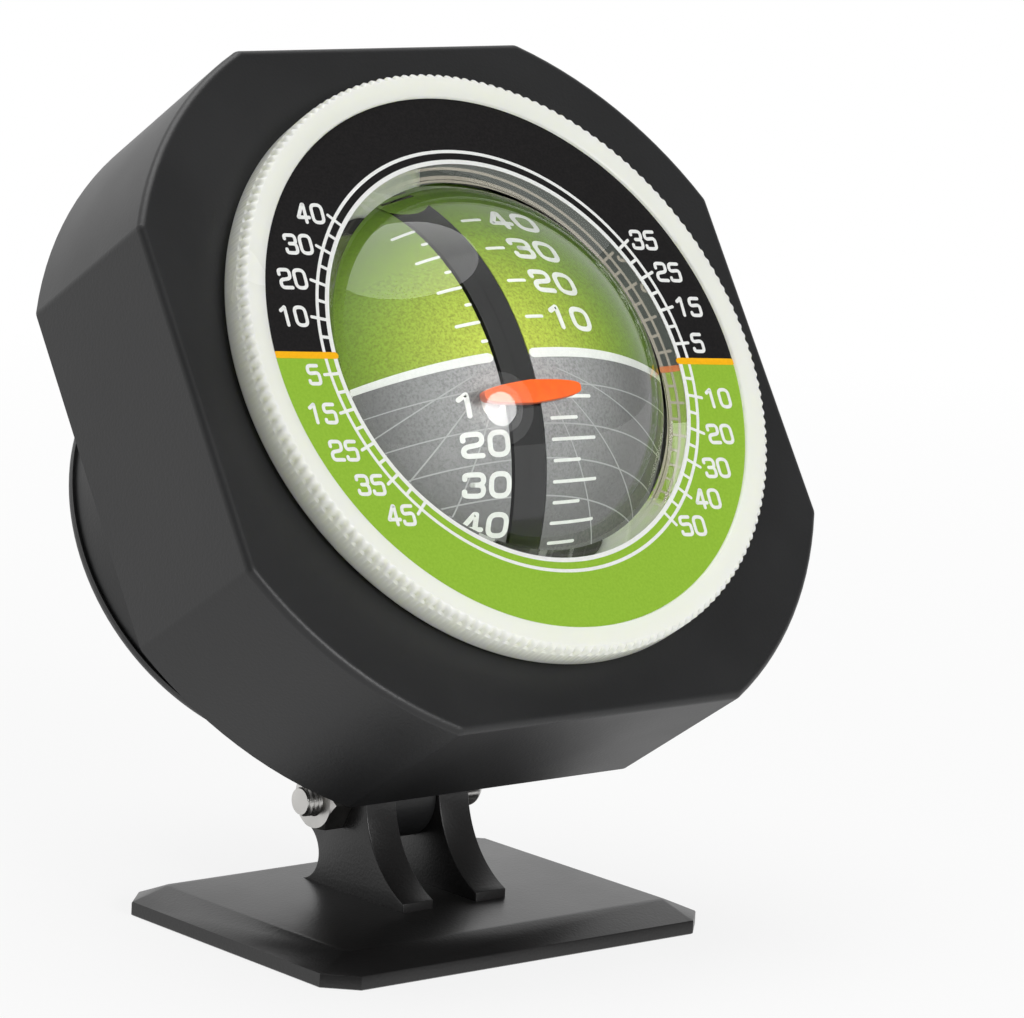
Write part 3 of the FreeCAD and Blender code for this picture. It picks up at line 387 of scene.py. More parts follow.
def make_piece(name, points, faces, body, slot, finish=None, matrix=HEAD, sharp=30.0):
    """A mesh piece, written in millimetres of one frame, that rides on a body."""
    mesh = bpy.data.meshes.new(name)
    mesh.from_pydata([matrix @ Vector(p) for p in points], [], faces)
    mesh.validate()
    shell = bmesh.new()
    shell.from_mesh(mesh)
    bmesh.ops.recalc_face_normals(shell, faces=shell.faces)
    shell.to_mesh(mesh)
    shell.free()
    mesh.shade_smooth()
    mesh.set_sharp_from_angle(angle=math.radians(sharp))
    mesh.materials.append(finish or FINISH[slot])
    piece = bpy.data.objects.new(name, mesh)
    scene.collection.objects.link(piece)
    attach(piece, body)
    return piece


def joined(*shells):
    """One list of points and one of faces from several shells."""
    points, faces = [], []
    for more_points, more_faces in shells:
        base = len(points)
        points = points + more_points
        faces = faces + [[v + base for v in face] for face in more_faces]
    return points, faces


def angles(count):
    """Equal steps round a circle."""
    return [FULL_TURN * k / count for k in range(count)]


def revolve(profile, steps, radius_at=None):
    """Closed profile of (radius, y) turned about the dial's axis; points on the axis are merged."""
    on_axis = 1e-6
    points, faces, rows = [], [], []
    for i, (radius, y) in enumerate(profile):
        if radius < on_axis:
            rows.append([len(points)] * steps)
            points.append((0.0, y, 0.0))
            continue
        rows.append(list(range(len(points), len(points) + steps)))
        for a in angles(steps):
            r = radius_at(i, radius, a) if radius_at else radius
            points.append((r * math.cos(a), y, r * math.sin(a)))
    count = len(profile)
    closed = profile[0][0] > on_axis or profile[-1][0] > on_axis
    for i in range(count if closed else count - 1):
        a, b = rows[i], rows[(i + 1) % count]
        for k in range(steps):
            n = (k + 1) % steps
            face = [a[k], a[n], b[n], b[k]]
            clean = [v for j, v in enumerate(face) if v != face[j - 1]]
            if len(set(clean)) > 2:
                faces.append(clean)
    return points, faces


def arc_points(centre_y, radius, r0, r1, count, front=True):
    """Points (r, y) on a sphere round (0, centre_y) between two radii from the axis."""
    out = []
    a0, a1 = math.asin(min(r0 / radius, 1.0)), math.asin(min(r1 / radius, 1.0))
    for i in range(count + 1):
        a = a0 + (a1 - a0) * i / count
        y = radius * math.cos(a)
        out.append((radius * math.sin(a), centre_y - y if front else centre_y + y))
    return out


# Capsule: dome, skirt, two flanges with the seal's groove between them, bowl and flat back.
DOME_R, DOME_APEX, CAP_R, FLANGE_R = 29.6, 14.45, 27.2, 30.4
DOME_Y, FLANGE_Y, SEAL_Y, BOWL_Y, SEAT_Y = DOME_R - DOME_APEX, 7.8, 9.3, 9.9, 11.4
BOWL_BACK, BOWL_BACK_R = 47.5, 13.4
GROOVE_R = CAP_R + 0.2
POCKET_R, POCKET_Y = 2.2, BOWL_BACK - 1.0
profile = arc_points(DOME_Y, DOME_R, 0.0, CAP_R - 0.35, 60)
edge_y = profile[-1][1]
profile += [(CAP_R - 0.1, edge_y + 0.25), (CAP_R, edge_y + 0.6), (CAP_R, FLANGE_Y),
            (FLANGE_R, FLANGE_Y), (FLANGE_R, SEAL_Y), (GROOVE_R, SEAL_Y),
            (GROOVE_R, BOWL_Y), (FLANGE_R, BOWL_Y), (FLANGE_R, SEAT_Y), (CAP_R, SEAT_Y),
            (CAP_R, BALL_Y)]
profile += arc_points(BALL_Y, CAP_R, BOWL_BACK_R, CAP_R, 30, front=False)[::-1][1:]
profile += [(BOWL_BACK_R, BOWL_BACK), (POCKET_R, BOWL_BACK), (POCKET_R, POCKET_Y), (0.0, POCKET_Y)]
capsule = make_piece("capsule_glass", *revolve(profile, 160), "head", "clear_plastic")
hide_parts("dome_lens", "capsule_bowl")

# Turning ring with fine rounded teeth on its front edge. Behind it are the step that the plate
# sits in, the neck that turns in the housing, and the groove of the snap ring.
TEETH, STEPS_PER_TOOTH, TOOTH_DEPTH, TOOTH_LENGTH = 180, 8, 0.34, 1.5
RING_FRONT, RING_BACK, NECK_R, NECK_INNER_R, NECK_END = -5.0, -0.3, 36.0, 33.0, 4.4
GROOVE_FLOOR_R, GROOVE_FROM, GROOVE_TO = 35.2, 2.8, 3.8
ring_profile = [
    (OPENING_R, PLATE_BACK), (OPENING_R, RING_FRONT + 0.45), (OPENING_R + 0.06, RING_FRONT + 0.33),
    (OPENING_R + 0.22, RING_FRONT + 0.24), (36.2, RING_FRONT + 0.10), (37.0, RING_FRONT + 0.02),
    (37.25, RING_FRONT + 0.03), (37.45, RING_FRONT + 0.12), (37.62, RING_FRONT + 0.28),
    (BEZEL_R, RING_FRONT + 0.55), (BEZEL_R, RING_FRONT + TOOTH_LENGTH - 0.1),
    (BEZEL_R, RING_FRONT + TOOTH_LENGTH), (BEZEL_R, RING_FRONT + TOOTH_LENGTH + 0.12),
    (BEZEL_R, RING_BACK - 0.6), (BEZEL_R - 0.18, RING_BACK - 0.2), (BEZEL_R - 0.5, RING_BACK),
    (NECK_R, RING_BACK), (NECK_R, GROOVE_FROM), (GROOVE_FLOOR_R, GROOVE_FROM),
    (GROOVE_FLOOR_R, GROOVE_TO), (NECK_R, GROOVE_TO), (NECK_R, NECK_END), (NECK_INNER_R, NECK_END),
    (NECK_INNER_R, PLATE_BACK)]
# Share of a tooth's depth at the profile's points that the teeth cut
TOOTHED = {6: 0.35, 7: 0.75, 8: 1.0, 9: 1.0, 10: 1.0, 11: 0.55}


def toothed(i, radius, angle):
    phase = (angle * TEETH / FULL_TURN) % 1.0
    dip = abs(math.cos(math.pi * phase)) ** 2.2
    return radius - TOOTHED.get(i, 0.0) * TOOTH_DEPTH * dip


ring = make_piece("bezel_scalloped", *revolve(ring_profile, TEETH * STEPS_PER_TOOTH, toothed),
                  "bezel", "glow_plastic", sharp=35.0)
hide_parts("bezel_ring")


# Strokes

def rounded_path(points, radius, closed=False, steps=6):
    """A polyline with its corners rounded."""
    same = 1e-5
    pts = [Vector(p) for p in points]
    n = len(pts)
    out = []
    for i, p in enumerate(pts):
        if not closed and i in (0, n - 1):
            out.append(p)
            continue
        a, b = pts[i - 1], pts[(i + 1) % n]
        start, end = [p + (q - p).normalized() * min(radius, (q - p).length * 0.5) for q in (a, b)]
        for k in range(steps + 1):
            t = k / steps
            out.append(start * (1 - t) ** 2 + p * 2 * t * (1 - t) + end * t ** 2)
    clean = [out[0]]
    for p in out[1:]:
        if (p - clean[-1]).length > same:
            clean.append(p)
    if closed and (clean[0] - clean[-1]).length < same:
        clean.pop()
    return clean


def fine_path(path, step):
    """The same path with no piece of it longer than a step."""
    out = [path[0]]
    for a, b in zip(path, path[1:]):
        count = max(1, math.ceil((b - a).length / step))
        out += [a + (b - a) * k / count for k in range(1, count + 1)]
    return out


def edges_of(path, width, closed):
    """The left and right edge points of a stroke along a path."""
    n = len(path)
    out = []
    for i, p in enumerate(path):
        d = Vector((0.0, 0.0))
        if i > 0 or closed:
            d += (p - path[i - 1]).normalized()
        if i < n - 1 or closed:
            d += (path[(i + 1) % n] - p).normalized()
        d.normalize()
        side = Vector((-d.y, d.x)) * width / 2
        out.append((p + side, p - side))
    return out


def round_end(end, before, width, steps):
    """Narrower and narrower cross lines past a stroke's end."""
    d = (end - before).normalized()
    side = Vector((-d.y, d.x))
    rows = []
    for k in range(1, steps + 1):
        a = math.pi / 2 * k / steps
        out = end + d * (width / 2) * math.sin(a)
        half = max(width / 2 * math.cos(a), width * 0.02)
        rows.append((out + side * half, out - side * half))
    return rows


class Ink:
    """Collects strokes on a surface as thin closed solids of one mesh."""

    def __init__(self, lift, height, step=None):
        self.lift, self.height, self.step = lift, height, step
        self.points, self.faces = [], []

    def stroke(self, path, width, place, closed=False, cap_steps=5):
        """place maps (u, v, h) to a point in millimetres; path is in (u, v)."""
        path = [Vector(p) for p in path]
        if self.step:
            path = fine_path(path + path[:1] if closed else path, self.step)
            path = path[:-1] if closed else path
        cross = edges_of(path, width, closed)
        if not closed:
            tail = round_end(path[-1], path[-2], width, cap_steps)
            head = [(r, l) for l, r in round_end(path[0], path[1], width, cap_steps)]
            cross = head[::-1] + cross + tail
        base = len(self.points)
        for l, r in cross:
            for p, h in ((l, self.height), (r, self.height), (r, self.lift), (l, self.lift)):
                self.points.append(place(p[0], p[1], h))
        count = len(cross)
        for i in range(count if closed else count - 1):
            a = base + 4 * i
            b = base + 4 * ((i + 1) % count)
            for k in range(4):
                m = (k + 1) % 4
                self.faces.append([a + k, a + m, b + m, b + k])
        if not closed:
            last = base + 4 * (count - 1)
            self.faces.append([base, base + 1, base + 2, base + 3])
            self.faces.append([last + 3, last + 2, last + 1, last])

    def piece(self, name, finish, body, slot):
        return make_piece(name, self.points, self.faces, body, slot, finish, sharp=40.0)


# Each figure's strokes in a box one unit wide and tall, with a corner radius and a closed flag
FIGURES = {
    "0": [([(0, 0), (1, 0), (1, 1), (0, 1)], 0.34, True)],
    "1": [([(0.12, 0.80), (0.55, 1.0), (0.55, 0.0)], 0.03, False)],
    "2": [([(0, 0.74), (0, 1), (1, 1), (1, 0.52), (0.0, 0.42), (0, 0), (1, 0)], 0.24, False)],
    "3": [([(0, 0.80), (0, 1), (1, 1), (1, 0.52), (0.38, 0.52)], 0.26, False),
          ([(0.38, 0.52), (1, 0.52), (1, 0), (0, 0), (0, 0.20)], 0.26, False)],
    "4": [([(0.72, 0.0), (0.72, 1.0), (0.60, 1.0), (0.0, 0.27), (1.04, 0.27)], 0.03, False)],
    "5": [([(0.95, 1), (0.04, 1), (0.0, 0.56), (1, 0.62), (1, 0), (0, 0), (0, 0.16)], 0.24, False)],
}
Font = namedtuple("Font", "width height stroke pitch")
DIAL_FONT = Font(1.95, 2.75, 0.46, 2.12)
BALL_FONT = Font(2.6, 2.9, 0.56, 2.95)


def write(ink_set, text, start, base, font, place):
    """Figures from a lower left place, upright in the place's own u and v."""
    w, h, half = font.width - font.stroke, font.height - font.stroke, font.stroke / 2
    for i, digit in enumerate(text):
        for path, radius, closed in FIGURES[digit]:
            pts = [(start + i * font.pitch + half + u * w, base + half + v * h) for u, v in path]
            rounded = rounded_path(pts, radius * min(w, h) * 1.3, closed)
            ink_set.stroke(rounded, font.stroke, place, closed)


# Dial print, written in the plate's own upright frame, which is turned a little on the axis
def dial_place(u, v, h):
    c, s = math.cos(DIAL_TURN), math.sin(DIAL_TURN)
    return (u * c + v * s, DIAL_Y - h, v * c - u * s)


def dial_xy(radius, angle_deg):
    a = math.radians(angle_deg)
    return radius * math.cos(a), radius * math.sin(a)


INNER_R, OUTER_R, TICK_END, LINE_FROM = 26.03, 27.4, 28.3, 25.9
INNER_WIDTH, OUTER_WIDTH, TICK_WIDTH, LINE_WIDTH = 0.56, 0.42, 0.4, 0.85
FIGURE_GAP_X, FIGURE_GAP = 0.35, 0.2
# Where each row of figures starts, which way it counts, and its side
SCALES = ((180, -1, (10, 20, 30, 40), "left"), (180, 1, (5, 15, 25, 35, 45), "left"),
          (0, 1, (5, 15, 25, 35), "right"), (360, -1, (10, 20, 30, 40, 50), "right"))
labelled = {zero + way * n: (str(n), side) for zero, way, row, side in SCALES for n in row}


def draw_dial(ink_set):
    """Two rings, their steps every 5 degrees at the sides, and the figures."""
    for radius, width in ((INNER_R, INNER_WIDTH), (OUTER_R, OUTER_WIDTH)):
        circle = [dial_xy(radius, k * 1.5) for k in range(240)]
        ink_set.stroke(circle, width, dial_place, closed=True)
    for angle in range(5, 360, 5):
        on_right = angle <= 35 or angle >= 310
        on_left = 140 <= angle <= 225 and angle != 180
        if not (on_right or on_left):
            continue
        label = labelled.get(angle)
        end = TICK_END if label else OUTER_R
        ink_set.stroke([dial_xy(INNER_R, angle), dial_xy(end, angle)], TICK_WIDTH, dial_place)
        if not label:
            continue
        text, side = label
        length = DIAL_FONT.pitch * (len(text) - 1) + DIAL_FONT.width
        x, y = dial_xy(TICK_END + FIGURE_GAP, angle)
        start = x + FIGURE_GAP_X if side == "right" else x - FIGURE_GAP_X - length
        write(ink_set, text, start, y - DIAL_FONT.height / 2, DIAL_FONT, dial_place)


def draw_centre_lines(ink_set):
    for angle in (0, 180):
        ends = [dial_xy(LINE_FROM, angle), dial_xy(OPENING_R - 0.3, angle)]
        ink_set.stroke(ends, LINE_WIDTH, dial_place, cap_steps=2)


def dial_ring(name, low, high, finish):
    """The ground print, a thin ring between two heights over the plate's front."""
    rim = OPENING_R - 0.06
    section = [(WINDOW_R, DIAL_Y - high), (rim, DIAL_Y - high),
               (rim, DIAL_Y - low), (WINDOW_R, DIAL_Y - low)]
    return make_piece(name, *revolve(section, 240), "bezel", "dial_print", finish)


# The print lies on the clear plate's front, and its back shows through the bevelled window.
plate_rim = OPENING_R - 0.05
plate_section = [(WINDOW_R, DIAL_Y), (plate_rim, DIAL_Y), (plate_rim, PLATE_BACK),
                 (WINDOW_BACK_R, PLATE_BACK)]
plate = make_piece("dial_plate_clear", *revolve(plate_section, 240), "bezel", "dial_print",
                   clear_plate)
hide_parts("dial_plate")
layers = [dial_ring("dial_ground", 0.002, 0.012, FINISH["dial_print"]),
          dial_ring("dial_ground_back", -0.03, -0.02, dial_ink_back)]
# Heights of the figures and of the middle lines, which lie over them on either side
for name, low, high, line_low, line_high, white, orange in (
        ("", 0.005, 0.03, 0.005, 0.04, white_ink, orange_ink),
        ("_back", -0.07, -0.035, -0.08, -0.035, white_back, orange_back)):
    figures = Ink(low, high)
    draw_dial(figures)
    layers.append(figures.piece("dial_figures" + name, white, "bezel", "dial_print"))
    lines = Ink(line_low, line_high)
    draw_centre_lines(lines)
    layers.append(lines.piece("dial_centre_lines" + name, orange, "bezel", "dial_print"))
for layer in layers:
    layer.visible_shadow = False


# Ball print: u is the distance from the band's middle plane, v the height angle times the radius
def ball_place(u, v, h):
    r = BALL_R + h
    rho = math.sqrt(max(r * r - u * u, 0.0))
    e = v / BALL_R
    return (u, BALL_Y - rho * math.cos(e), rho * math.sin(e))


def along(angle):
    """Length over the ball of a height angle in degrees."""
    return math.radians(angle) * BALL_R


def front_view(x, z):
    """Place on the ball of a point drawn on its front view."""
    return (x, BALL_R * math.asin(z / math.sqrt(BALL_R ** 2 - x * x)))


BALL_TICK, GRID_WIDTH, HORIZON_WIDTH, HORIZON_V = 0.36, 0.15, 1.02, 0.35
BAND_EDGE, STEP = 2.25, 0.45
BALL_LIFT, PRINT_HEIGHT, GRID_HEIGHT = -0.02, 0.05, 0.035
# Height of each curved ground line on the front view, and how far it reaches sideways
GROUND_LINES = ((-2.9, 23.6), (-6.9, 22.8), (-10.2, 21.6), (-13.6, 19.7))


def ball_tick(ink_set, u0, u1, angle):
    ends = [(u0, along(angle)), (u1, along(angle))]
    ink_set.stroke(ends, BALL_TICK, ball_place, cap_steps=3)


def ball_figure(ink_set, n, u, angle):
    write(ink_set, str(n), u, along(angle) - BALL_FONT.height / 2, BALL_FONT, ball_place)


for side, body_name in ((1, "right"), (-1, "left")):
    prints = Ink(BALL_LIFT, PRINT_HEIGHT, STEP)
    grid = Ink(BALL_LIFT, GRID_HEIGHT, STEP)
    horizon = [(side * 2.75, HORIZON_V), (side * 24.0, HORIZON_V)]
    prints.stroke(horizon, HORIZON_WIDTH, ball_place, cap_steps=2)
    for n in (10, 20, 30, 40):
        if side > 0:
            ball_tick(prints, 3.6, 5.6, n)
            ball_figure(prints, n, 6.55, n)
            ball_tick(prints, 3.2, 9.0, -n)
            ball_tick(prints, 3.3, 6.7, -n - 5)
        else:
            ball_figure(prints, n, -BAND_EDGE - BALL_FONT.pitch - BALL_FONT.width, -n)
            ball_tick(prints, -BAND_EDGE - 0.1, -4.95, n)
            ball_tick(prints, -BAND_EDGE - 0.1, -2.8, n - 5)
    for z, reach in GROUND_LINES:
        curve = [front_view(side * (BAND_EDGE + (reach - BAND_EDGE) * k / 40), z)
                 for k in range(41)]
        grid.stroke(curve, GRID_WIDTH, ball_place, cap_steps=1)
    for angle in (20.0, 42.0, 64.0):
        a = math.radians(angle)
        ray = [front_view(side * (1.5 + r * math.cos(a)), -r * math.sin(a)) for r in range(4, 23)]
        grid.stroke(ray, GRID_WIDTH, ball_place, cap_steps=1)
    prints.piece("ball_figures_" + body_name, white_ink, "ball", "ball_print")
    grid.piece("ball_grid_" + body_name, grid_ink, "ball", "ball_print")

# Printed cover that joins the ball's halves over the band's upper end
bridge = Ink(0.21, 0.28, STEP)
bridge.stroke([(0.0, along(51.5)), (0.0, along(88))], 5.2, ball_place, cap_steps=4)
bridge.piece("ball_bridge", FINISH["ball_print"], "ball", "ball_print")

# Moulding line down the middle of the band, which stands a little proud of the ball
BAND_PROUD = 0.15
seam = Ink(-0.02, 0.03, STEP)
seam.stroke([(0.0, along(-52)), (0.0, along(44))], 0.14,
            lambda u, v, h: ball_place(u, v, h + BAND_PROUD), cap_steps=1)
seam.piece("carrier_seam", FINISH["carrier_plastic"], "roll", "carrier_plastic")


# Bevelled solids

def bevelled(outline, to_point, low, high, bevel, hole=None, sunk=None):
    """A flat outline, with or without a hole, pushed out between two depths, with its sharp edges
    rounded except where sunk says that they lie in another solid."""
    solid = bmesh.new()
    rim = []
    for loop in [outline] + ([hole] if hole else []):
        corners = [solid.verts.new(to_point(u, v, low)) for u, v in loop]
        rim += [solid.edges.new((a, corners[i - 1])) for i, a in enumerate(corners)]
    bmesh.ops.triangle_fill(solid, use_beauty=True, edges=rim)
    move = Vector(to_point(0.0, 0.0, high)) - Vector(to_point(0.0, 0.0, low))
    grown = bmesh.ops.extrude_face_region(solid, geom=list(solid.faces))
    tops = [g for g in grown["geom"] if isinstance(g, bmesh.types.BMVert)]
    bmesh.ops.translate(solid, vec=move, verts=tops)
    bmesh.ops.recalc_face_normals(solid, faces=solid.faces)
    sharp_edges = [e for e in solid.edges
                   if len(e.link_faces) == 2 and e.calc_face_angle() > math.radians(50)
                   and not (sunk and all(sunk(v.co) for v in e.verts))]
    bmesh.ops.bevel(solid, geom=sharp_edges, offset=bevel, segments=3, profile=0.5,
                    affect="EDGES", clamp_overlap=True)
    solid.verts.index_update()
    points = [tuple(v.co) for v in solid.verts]
    faces = [[v.index for v in f.verts] for f in solid.faces]
    solid.free()
    return points, faces


def arc_through(a, b, c, steps):
    """Points of the circle arc from a through b to c, without c."""
    (ax, ay), (bx, by), (cx, cy) = a, b, c
    aa, bb, cc = ax * ax + ay * ay, bx * bx + by * by, cx * cx + cy * cy
    d = 2 * (ax * (by - cy) + bx * (cy - ay) + cx * (ay - by))
    ux = (aa * (by - cy) + bb * (cy - ay) + cc * (ay - by)) / d
    uy = (aa * (cx - bx) + bb * (ax - cx) + cc * (bx - ax)) / d
    radius = math.hypot(ax - ux, ay - uy)
    at_a, at_b, at_c = [math.atan2(y - uy, x - ux) for x, y in (a, b, c)]
    sweep = (at_c - at_a) % FULL_TURN
    if (at_b - at_a) % FULL_TURN > sweep:
        sweep -= FULL_TURN
    return [(ux + radius * math.cos(at_a + sweep * k / steps),
             uy + radius * math.sin(at_a + sweep * k / steps)) for k in range(steps)]


# Base bracket, in the stand's frame: bevelled plate with a recess below it, and two waisted ears
# with rounded edges. The ears' outline runs up the front, round the bolt and down the back.
HINGE_Y, HINGE_Z, BORE_R = 7.1, 15.0, 2.05
EAR_R, EAR_IN, EAR_OUT, EAR_EDGE = 6.5, 3.4, 8.1, 0.35
EAR_FOOT_Z, SUNK_Z = 3.2, 3.3
diag = math.sqrt(0.5) * EAR_R
top_front, top_back = (HINGE_Y - EAR_R, HINGE_Z), (HINGE_Y + diag, HINGE_Z - diag)
foot_front, foot_back = (HINGE_Y - 14.5, 4.7), (HINGE_Y + 5.5, 3.6)
ear_line = arc_through(foot_front, (HINGE_Y - 9.8, HINGE_Z - 7.0), top_front, 18)
ear_line += arc_through(top_front, (HINGE_Y, HINGE_Z + EAR_R), top_back, 26)
ear_line += arc_through(top_back, (HINGE_Y + 2.5, HINGE_Z - 7.4), foot_back, 16)
ear_line += [foot_back, (foot_back[0], EAR_FOOT_Z), (foot_front[0], EAR_FOOT_Z)]
bore = [(HINGE_Y + BORE_R * math.cos(a), HINGE_Z + BORE_R * math.sin(a)) for a in angles(32)]


def octagon_ring(half_x, half_y, corner, z):
    return [(-half_x, -half_y + corner, z), (-half_x + corner, -half_y, z),
            (half_x - corner, -half_y, z), (half_x, -half_y + corner, z),
            (half_x, half_y - corner, z), (half_x - corner, half_y, z),
            (-half_x + corner, half_y, z), (-half_x, half_y - corner, z)]


def skin(rings):
    """Closed shell through rings of the same number of points, with flat ends."""
    steps = len(rings[0])
    points = [p for ring_points in rings for p in ring_points]
    faces = []
    for first in range(0, len(points) - steps, steps):
        for k in range(steps):
            n = (k + 1) % steps
            faces.append([first + k, first + n, first + steps + n, first + steps + k])
    return points, faces + [list(range(steps))[::-1], list(range(len(points) - steps, len(points)))]


# Half length, half width, cut corner and height of the plate's outline, from the recess's roof
# over its rim and up the bevel to the top
plate_rings = [octagon_ring(*ring_size) for ring_size in (
    (26.9, 19.7, 3.5, 0.8), (26.9, 19.7, 3.5, 0.0), (29.3, 22.1, 3.5, 0.0),
    (29.5, 22.3, 3.5, 0.15), (29.5, 22.3, 3.5, 1.6), (29.42, 22.22, 3.47, 1.75),
    (25.3, 18.1, 0.75, 3.52), (24.9, 17.7, 0.6, 3.6))]
ears = [bevelled(ear_line, lambda u, v, h: (h, u, v), start, start + EAR_OUT - EAR_IN, EAR_EDGE,
                 hole=bore, sunk=lambda co: co.z < SUNK_Z) for start in (-EAR_OUT, EAR_IN)]
bracket = make_piece("base_bracket_rounded", *joined(skin(plate_rings), *ears), "base",
                     "stand_plastic", matrix=STAND, sharp=35.0)
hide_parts("base_bracket")

# Pointer: spindle with soft edges on a short foot, a little below the middle of the ball
POINTER_HALF, POINTER_LIFT, POINTER_THICK, POINTER_EDGE = 6.2, 0.6, 1.1, 0.3
POINTER_FOOT, POINTER_FOOT_HALF = BALL_Y - BALL_R - 0.15 - 0.5, (1.3, 0.75)
POINTER_BACK = POINTER_FOOT - POINTER_LIFT
POINTER_DOWN = math.radians(9.3)


def eased(value, power):
    return math.copysign(abs(value) ** power, value)


def pointer_place(u, v, h):
    deep = h - BALL_Y
    return (u, BALL_Y + deep * math.cos(POINTER_DOWN) - v * math.sin(POINTER_DOWN),
            deep * math.sin(POINTER_DOWN) + v * math.cos(POINTER_DOWN))


spindle = []
for a in angles(48):
    wide = eased(math.cos(a), 0.75)
    spindle.append((POINTER_HALF * wide, (1.25 - 0.35 * abs(wide)) * eased(math.sin(a), 0.55)))
arrow = bevelled(spindle, pointer_place, POINTER_BACK - POINTER_THICK, POINTER_BACK, POINTER_EDGE)
foot_u, foot_v = POINTER_FOOT_HALF
foot = skin([[pointer_place(u, v, y) for u, v in ((-foot_u, -foot_v), (foot_u, -foot_v),
                                                  (foot_u, foot_v), (-foot_u, foot_v))]
             for y in (POINTER_BACK - 0.1, POINTER_FOOT + 0.02)])
pointer = make_piece("pointer_bar", *joined(arrow, foot), "roll", "pointer_orange", sharp=40.0)
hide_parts("pointer")


# Hinge bolt, in the stand's frame, from its thread end to its head
SHANK_R, UNDER_HEAD_R = 1.97, 3.3
THREAD_PITCH, THREAD_ROOT, THREAD_DEPTH, THREAD_LEAD = 0.7, 1.62, 0.33, 0.6
NUT_HEIGHT, PAST_NUT = 3.2, 2.0
BOLT_END, THREAD_END = -EAR_OUT - NUT_HEIGHT - PAST_NUT, -EAR_OUT + 0.2
HEAD_R, HEAD_TOP, KNURLS, KNURL_DEPTH = 3.5, EAR_OUT + 5.0, 24, 0.09
ROUND_FROM, ROUND_R, TOP_R = EAR_OUT + 4.5, 0.5, 3.0
SOCKET_HALF, SOCKET_FLOOR = 1.5, EAR_OUT + 2.9
SHANK_STEPS, HEAD_STEPS = 48, 144


def bolt_ring(x, radius, steps):
    """Points round the bolt's axis, at one radius or at a radius for each angle."""
    out = []
    for a in angles(steps):
        r = radius(a) if callable(radius) else radius
        out.append((x, HINGE_Y + r * math.cos(a), HINGE_Z + r * math.sin(a)))
    return out


def thread_ring(x):
    """One ring of the thread, whose helix shifts the radius with the angle."""
    grow = min(1.0, max(0.0, (x - BOLT_END) / THREAD_LEAD))

    def radius(a):
        phase = ((x - BOLT_END) / THREAD_PITCH + a / FULL_TURN) % 1.0
        return THREAD_ROOT + THREAD_DEPTH * (1.0 - abs(2.0 * phase - 1.0)) * grow
    return bolt_ring(x, radius, SHANK_STEPS)


def knurl(a):
    return HEAD_R - KNURL_DEPTH * (0.5 + 0.5 * math.cos(KNURLS * a))


def hexagon(a):
    local = (a + math.pi / 6) % (math.pi / 3) - math.pi / 6
    return SOCKET_HALF / math.cos(local)


shank = []
x = BOLT_END
while x < THREAD_END:
    shank.append(thread_ring(x))
    x += THREAD_PITCH / 8
shank += [bolt_ring(place, radius, SHANK_STEPS) for place, radius in (
    (-EAR_OUT + 0.3, SHANK_R), (EAR_OUT - 0.02, SHANK_R), (EAR_OUT, UNDER_HEAD_R),
    (EAR_OUT + 0.15, 3.48))]

head_line = [(EAR_OUT, UNDER_HEAD_R), (EAR_OUT + 0.2, 3.42)]
head_line += [(EAR_OUT + 0.5 + 0.2 * i, knurl) for i in range(19)]
for k in range(6):
    a = math.pi / 2 * k / 5
    head_line.append((ROUND_FROM + ROUND_R * math.sin(a), TOP_R + 0.42 * math.cos(a)))
head_line += [(HEAD_TOP, 1.9), (HEAD_TOP - 0.05, lambda a: hexagon(a) * 1.06),
              (EAR_OUT + 4.8, hexagon), (SOCKET_FLOOR, hexagon), (EAR_OUT + 2.5, 0.3)]
bolt_head = [bolt_ring(place, radius, HEAD_STEPS) for place, radius in head_line]
bolt = make_piece("hinge_bolt_threaded", *joined(skin(shank), skin(bolt_head)), "base", "steel",
                  matrix=STAND, sharp=40.0)
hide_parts("hinge_bolt")


# Studio

CENTRE = Vector((0.0, 0.0, 0.06))
FRONT = CENTRE + Vector((-0.02, -0.96, 0.279))
for name, place, size, power in (("overhead", Vector((-0.06, 0.16, 1.08)), 0.95, 7.0),
                                 ("front", FRONT, 0.26, 3.6), ("front_wide", FRONT, 0.38, 1.3),
                                 ("front_halo", FRONT, 0.58, 1.1)):
    light = bpy.data.lights.new(name, "AREA")
    light.shape = "DISK"
    light.size = size
    light.energy = power
    lamp = bpy.data.objects.new(name, light)
    lamp.location = place
    lamp.rotation_mode = "QUATERNION"
    lamp.rotation_quaternion = (CENTRE - place).to_track_quat("-Z", "Y")
    scene.collection.objects.link(lamp)

# Pale floor: it takes the object's shadow, and is white to the eye and in reflections.
FLOOR_HALF, FLOOR_NEAR_WHITE = 12.0, 0.86
t = material("floor_paper")
paper = t.add("ShaderNodeBsdfDiffuse")
t.feed(paper.inputs["Color"], (0.9, 0.9, 0.9))
path = t.add("ShaderNodeLightPath")
seen = t.math("MAXIMUM", path.outputs["Is Camera Ray"], path.outputs["Is Glossy Ray"])
seen = t.math("MAXIMUM", seen, path.outputs["Is Transmission Ray"])
seen = t.math("MULTIPLY", seen, t.math("LESS_THAN", path.outputs["Diffuse Depth"], 0.5))
away = t.add("ShaderNodeVectorMath", operation="LENGTH")
t.feed(away.inputs[0], t.coords())
near = t.spread(away.outputs["Value"], FLOOR_NEAR_WHITE, 1.0, 0.05, 0.5)
t.show_either(t.math("MULTIPLY", seen, near), paper, t.glow("ShaderNodeEmission", 1.0))
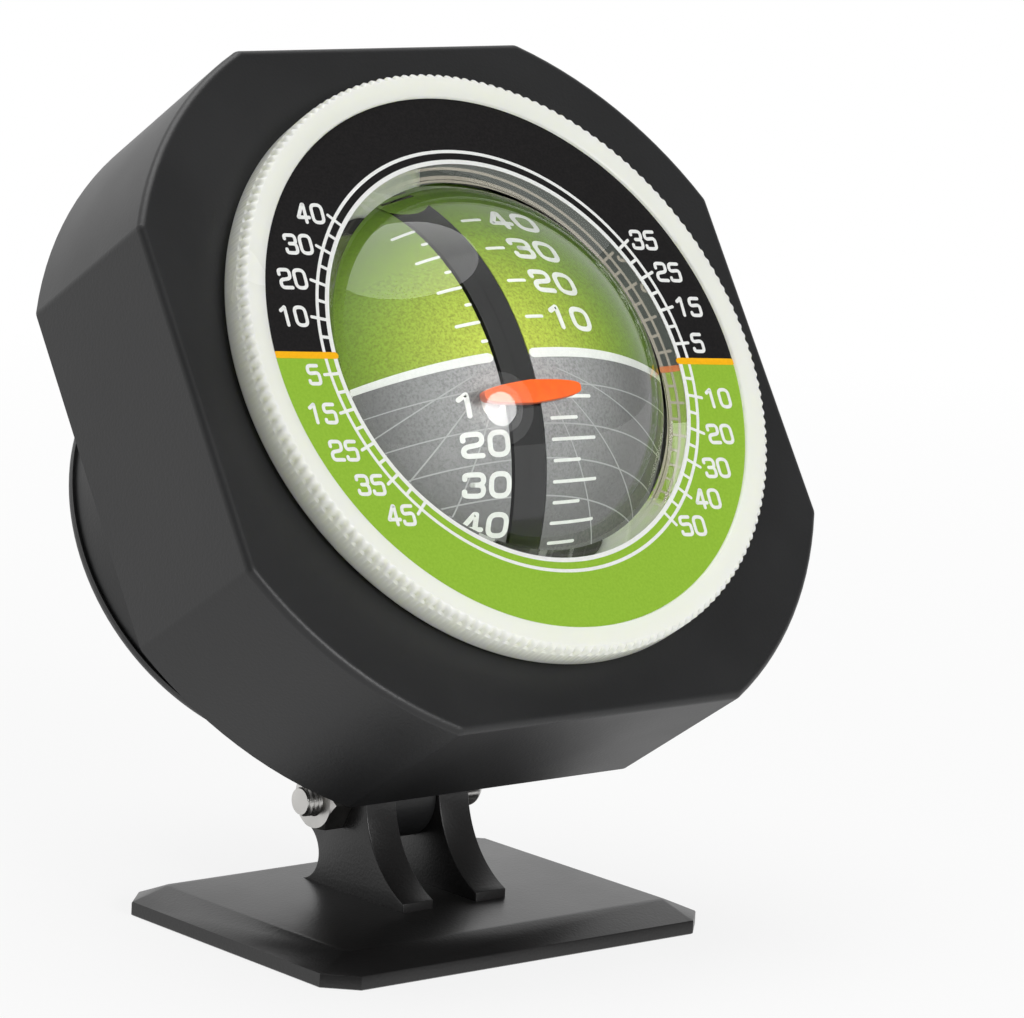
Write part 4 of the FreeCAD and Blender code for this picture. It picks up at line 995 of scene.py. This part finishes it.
floor_mesh = bpy.data.meshes.new("floor")
floor_mesh.from_pydata([(-FLOOR_HALF, -FLOOR_HALF, 0), (FLOOR_HALF, -FLOOR_HALF, 0),
                        (FLOOR_HALF, FLOOR_HALF, 0), (-FLOOR_HALF, FLOOR_HALF, 0)],
                       [], [[0, 1, 2, 3]])
floor_mesh.materials.append(t.owner)
floor = bpy.data.objects.new("floor", floor_mesh)
scene.collection.objects.link(floor)

# The studio lights the object evenly. Behind the object it is white to the eye, in reflections
# and through clear pieces, and its near side is dim in reflections.
EVEN_LIGHT, NEAR_SIDE = 0.12, 0.05
world = bpy.data.worlds.new("studio")
scene.world = world
w = Tree(world, "ShaderNodeOutputWorld")
path = w.add("ShaderNodeLightPath")
through = path.outputs["Is Transmission Ray"]
bent = w.math("MAXIMUM", path.outputs["Is Glossy Ray"], through)
bent = w.math("MULTIPLY", bent, w.math("LESS_THAN", path.outputs["Diffuse Depth"], 0.5))
parts = w.add("ShaderNodeSeparateXYZ")
w.feed(parts.inputs[0], w.add("ShaderNodeTexCoord").outputs["Generated"])
behind = w.math("MAXIMUM", w.spread(parts.outputs["Y"], NEAR_SIDE, 1.0, -0.3, 0.4), through)
seen = w.math("MAXIMUM", path.outputs["Is Camera Ray"], w.math("MULTIPLY", bent, behind))
w.show_either(seen, w.glow("ShaderNodeBackground", EVEN_LIGHT), w.glow("ShaderNodeBackground", 1.0))

# Camera at the photograph's viewing angle
camera_data = bpy.data.cameras.new("camera")
camera_data.lens = 178.95
camera_data.sensor_width = 36.0
camera_data.clip_start = 0.01
camera_data.clip_end = 60.0
camera = bpy.data.objects.new("camera", camera_data)
right = Vector((0.76648, -0.64033, 0.04983))
up = Vector((0.07463, 0.16586, 0.98332))
forward = Vector((0.637843, 0.749985, -0.175155))
turned = Matrix((right, up, -forward)).transposed()
camera.matrix_world = Matrix.Translation((-0.387299, -0.469856, 0.160237)) @ turned.to_4x4()
scene.collection.objects.link(camera)
scene.camera = camera
scene.view_settings.view_transform = "Standard"
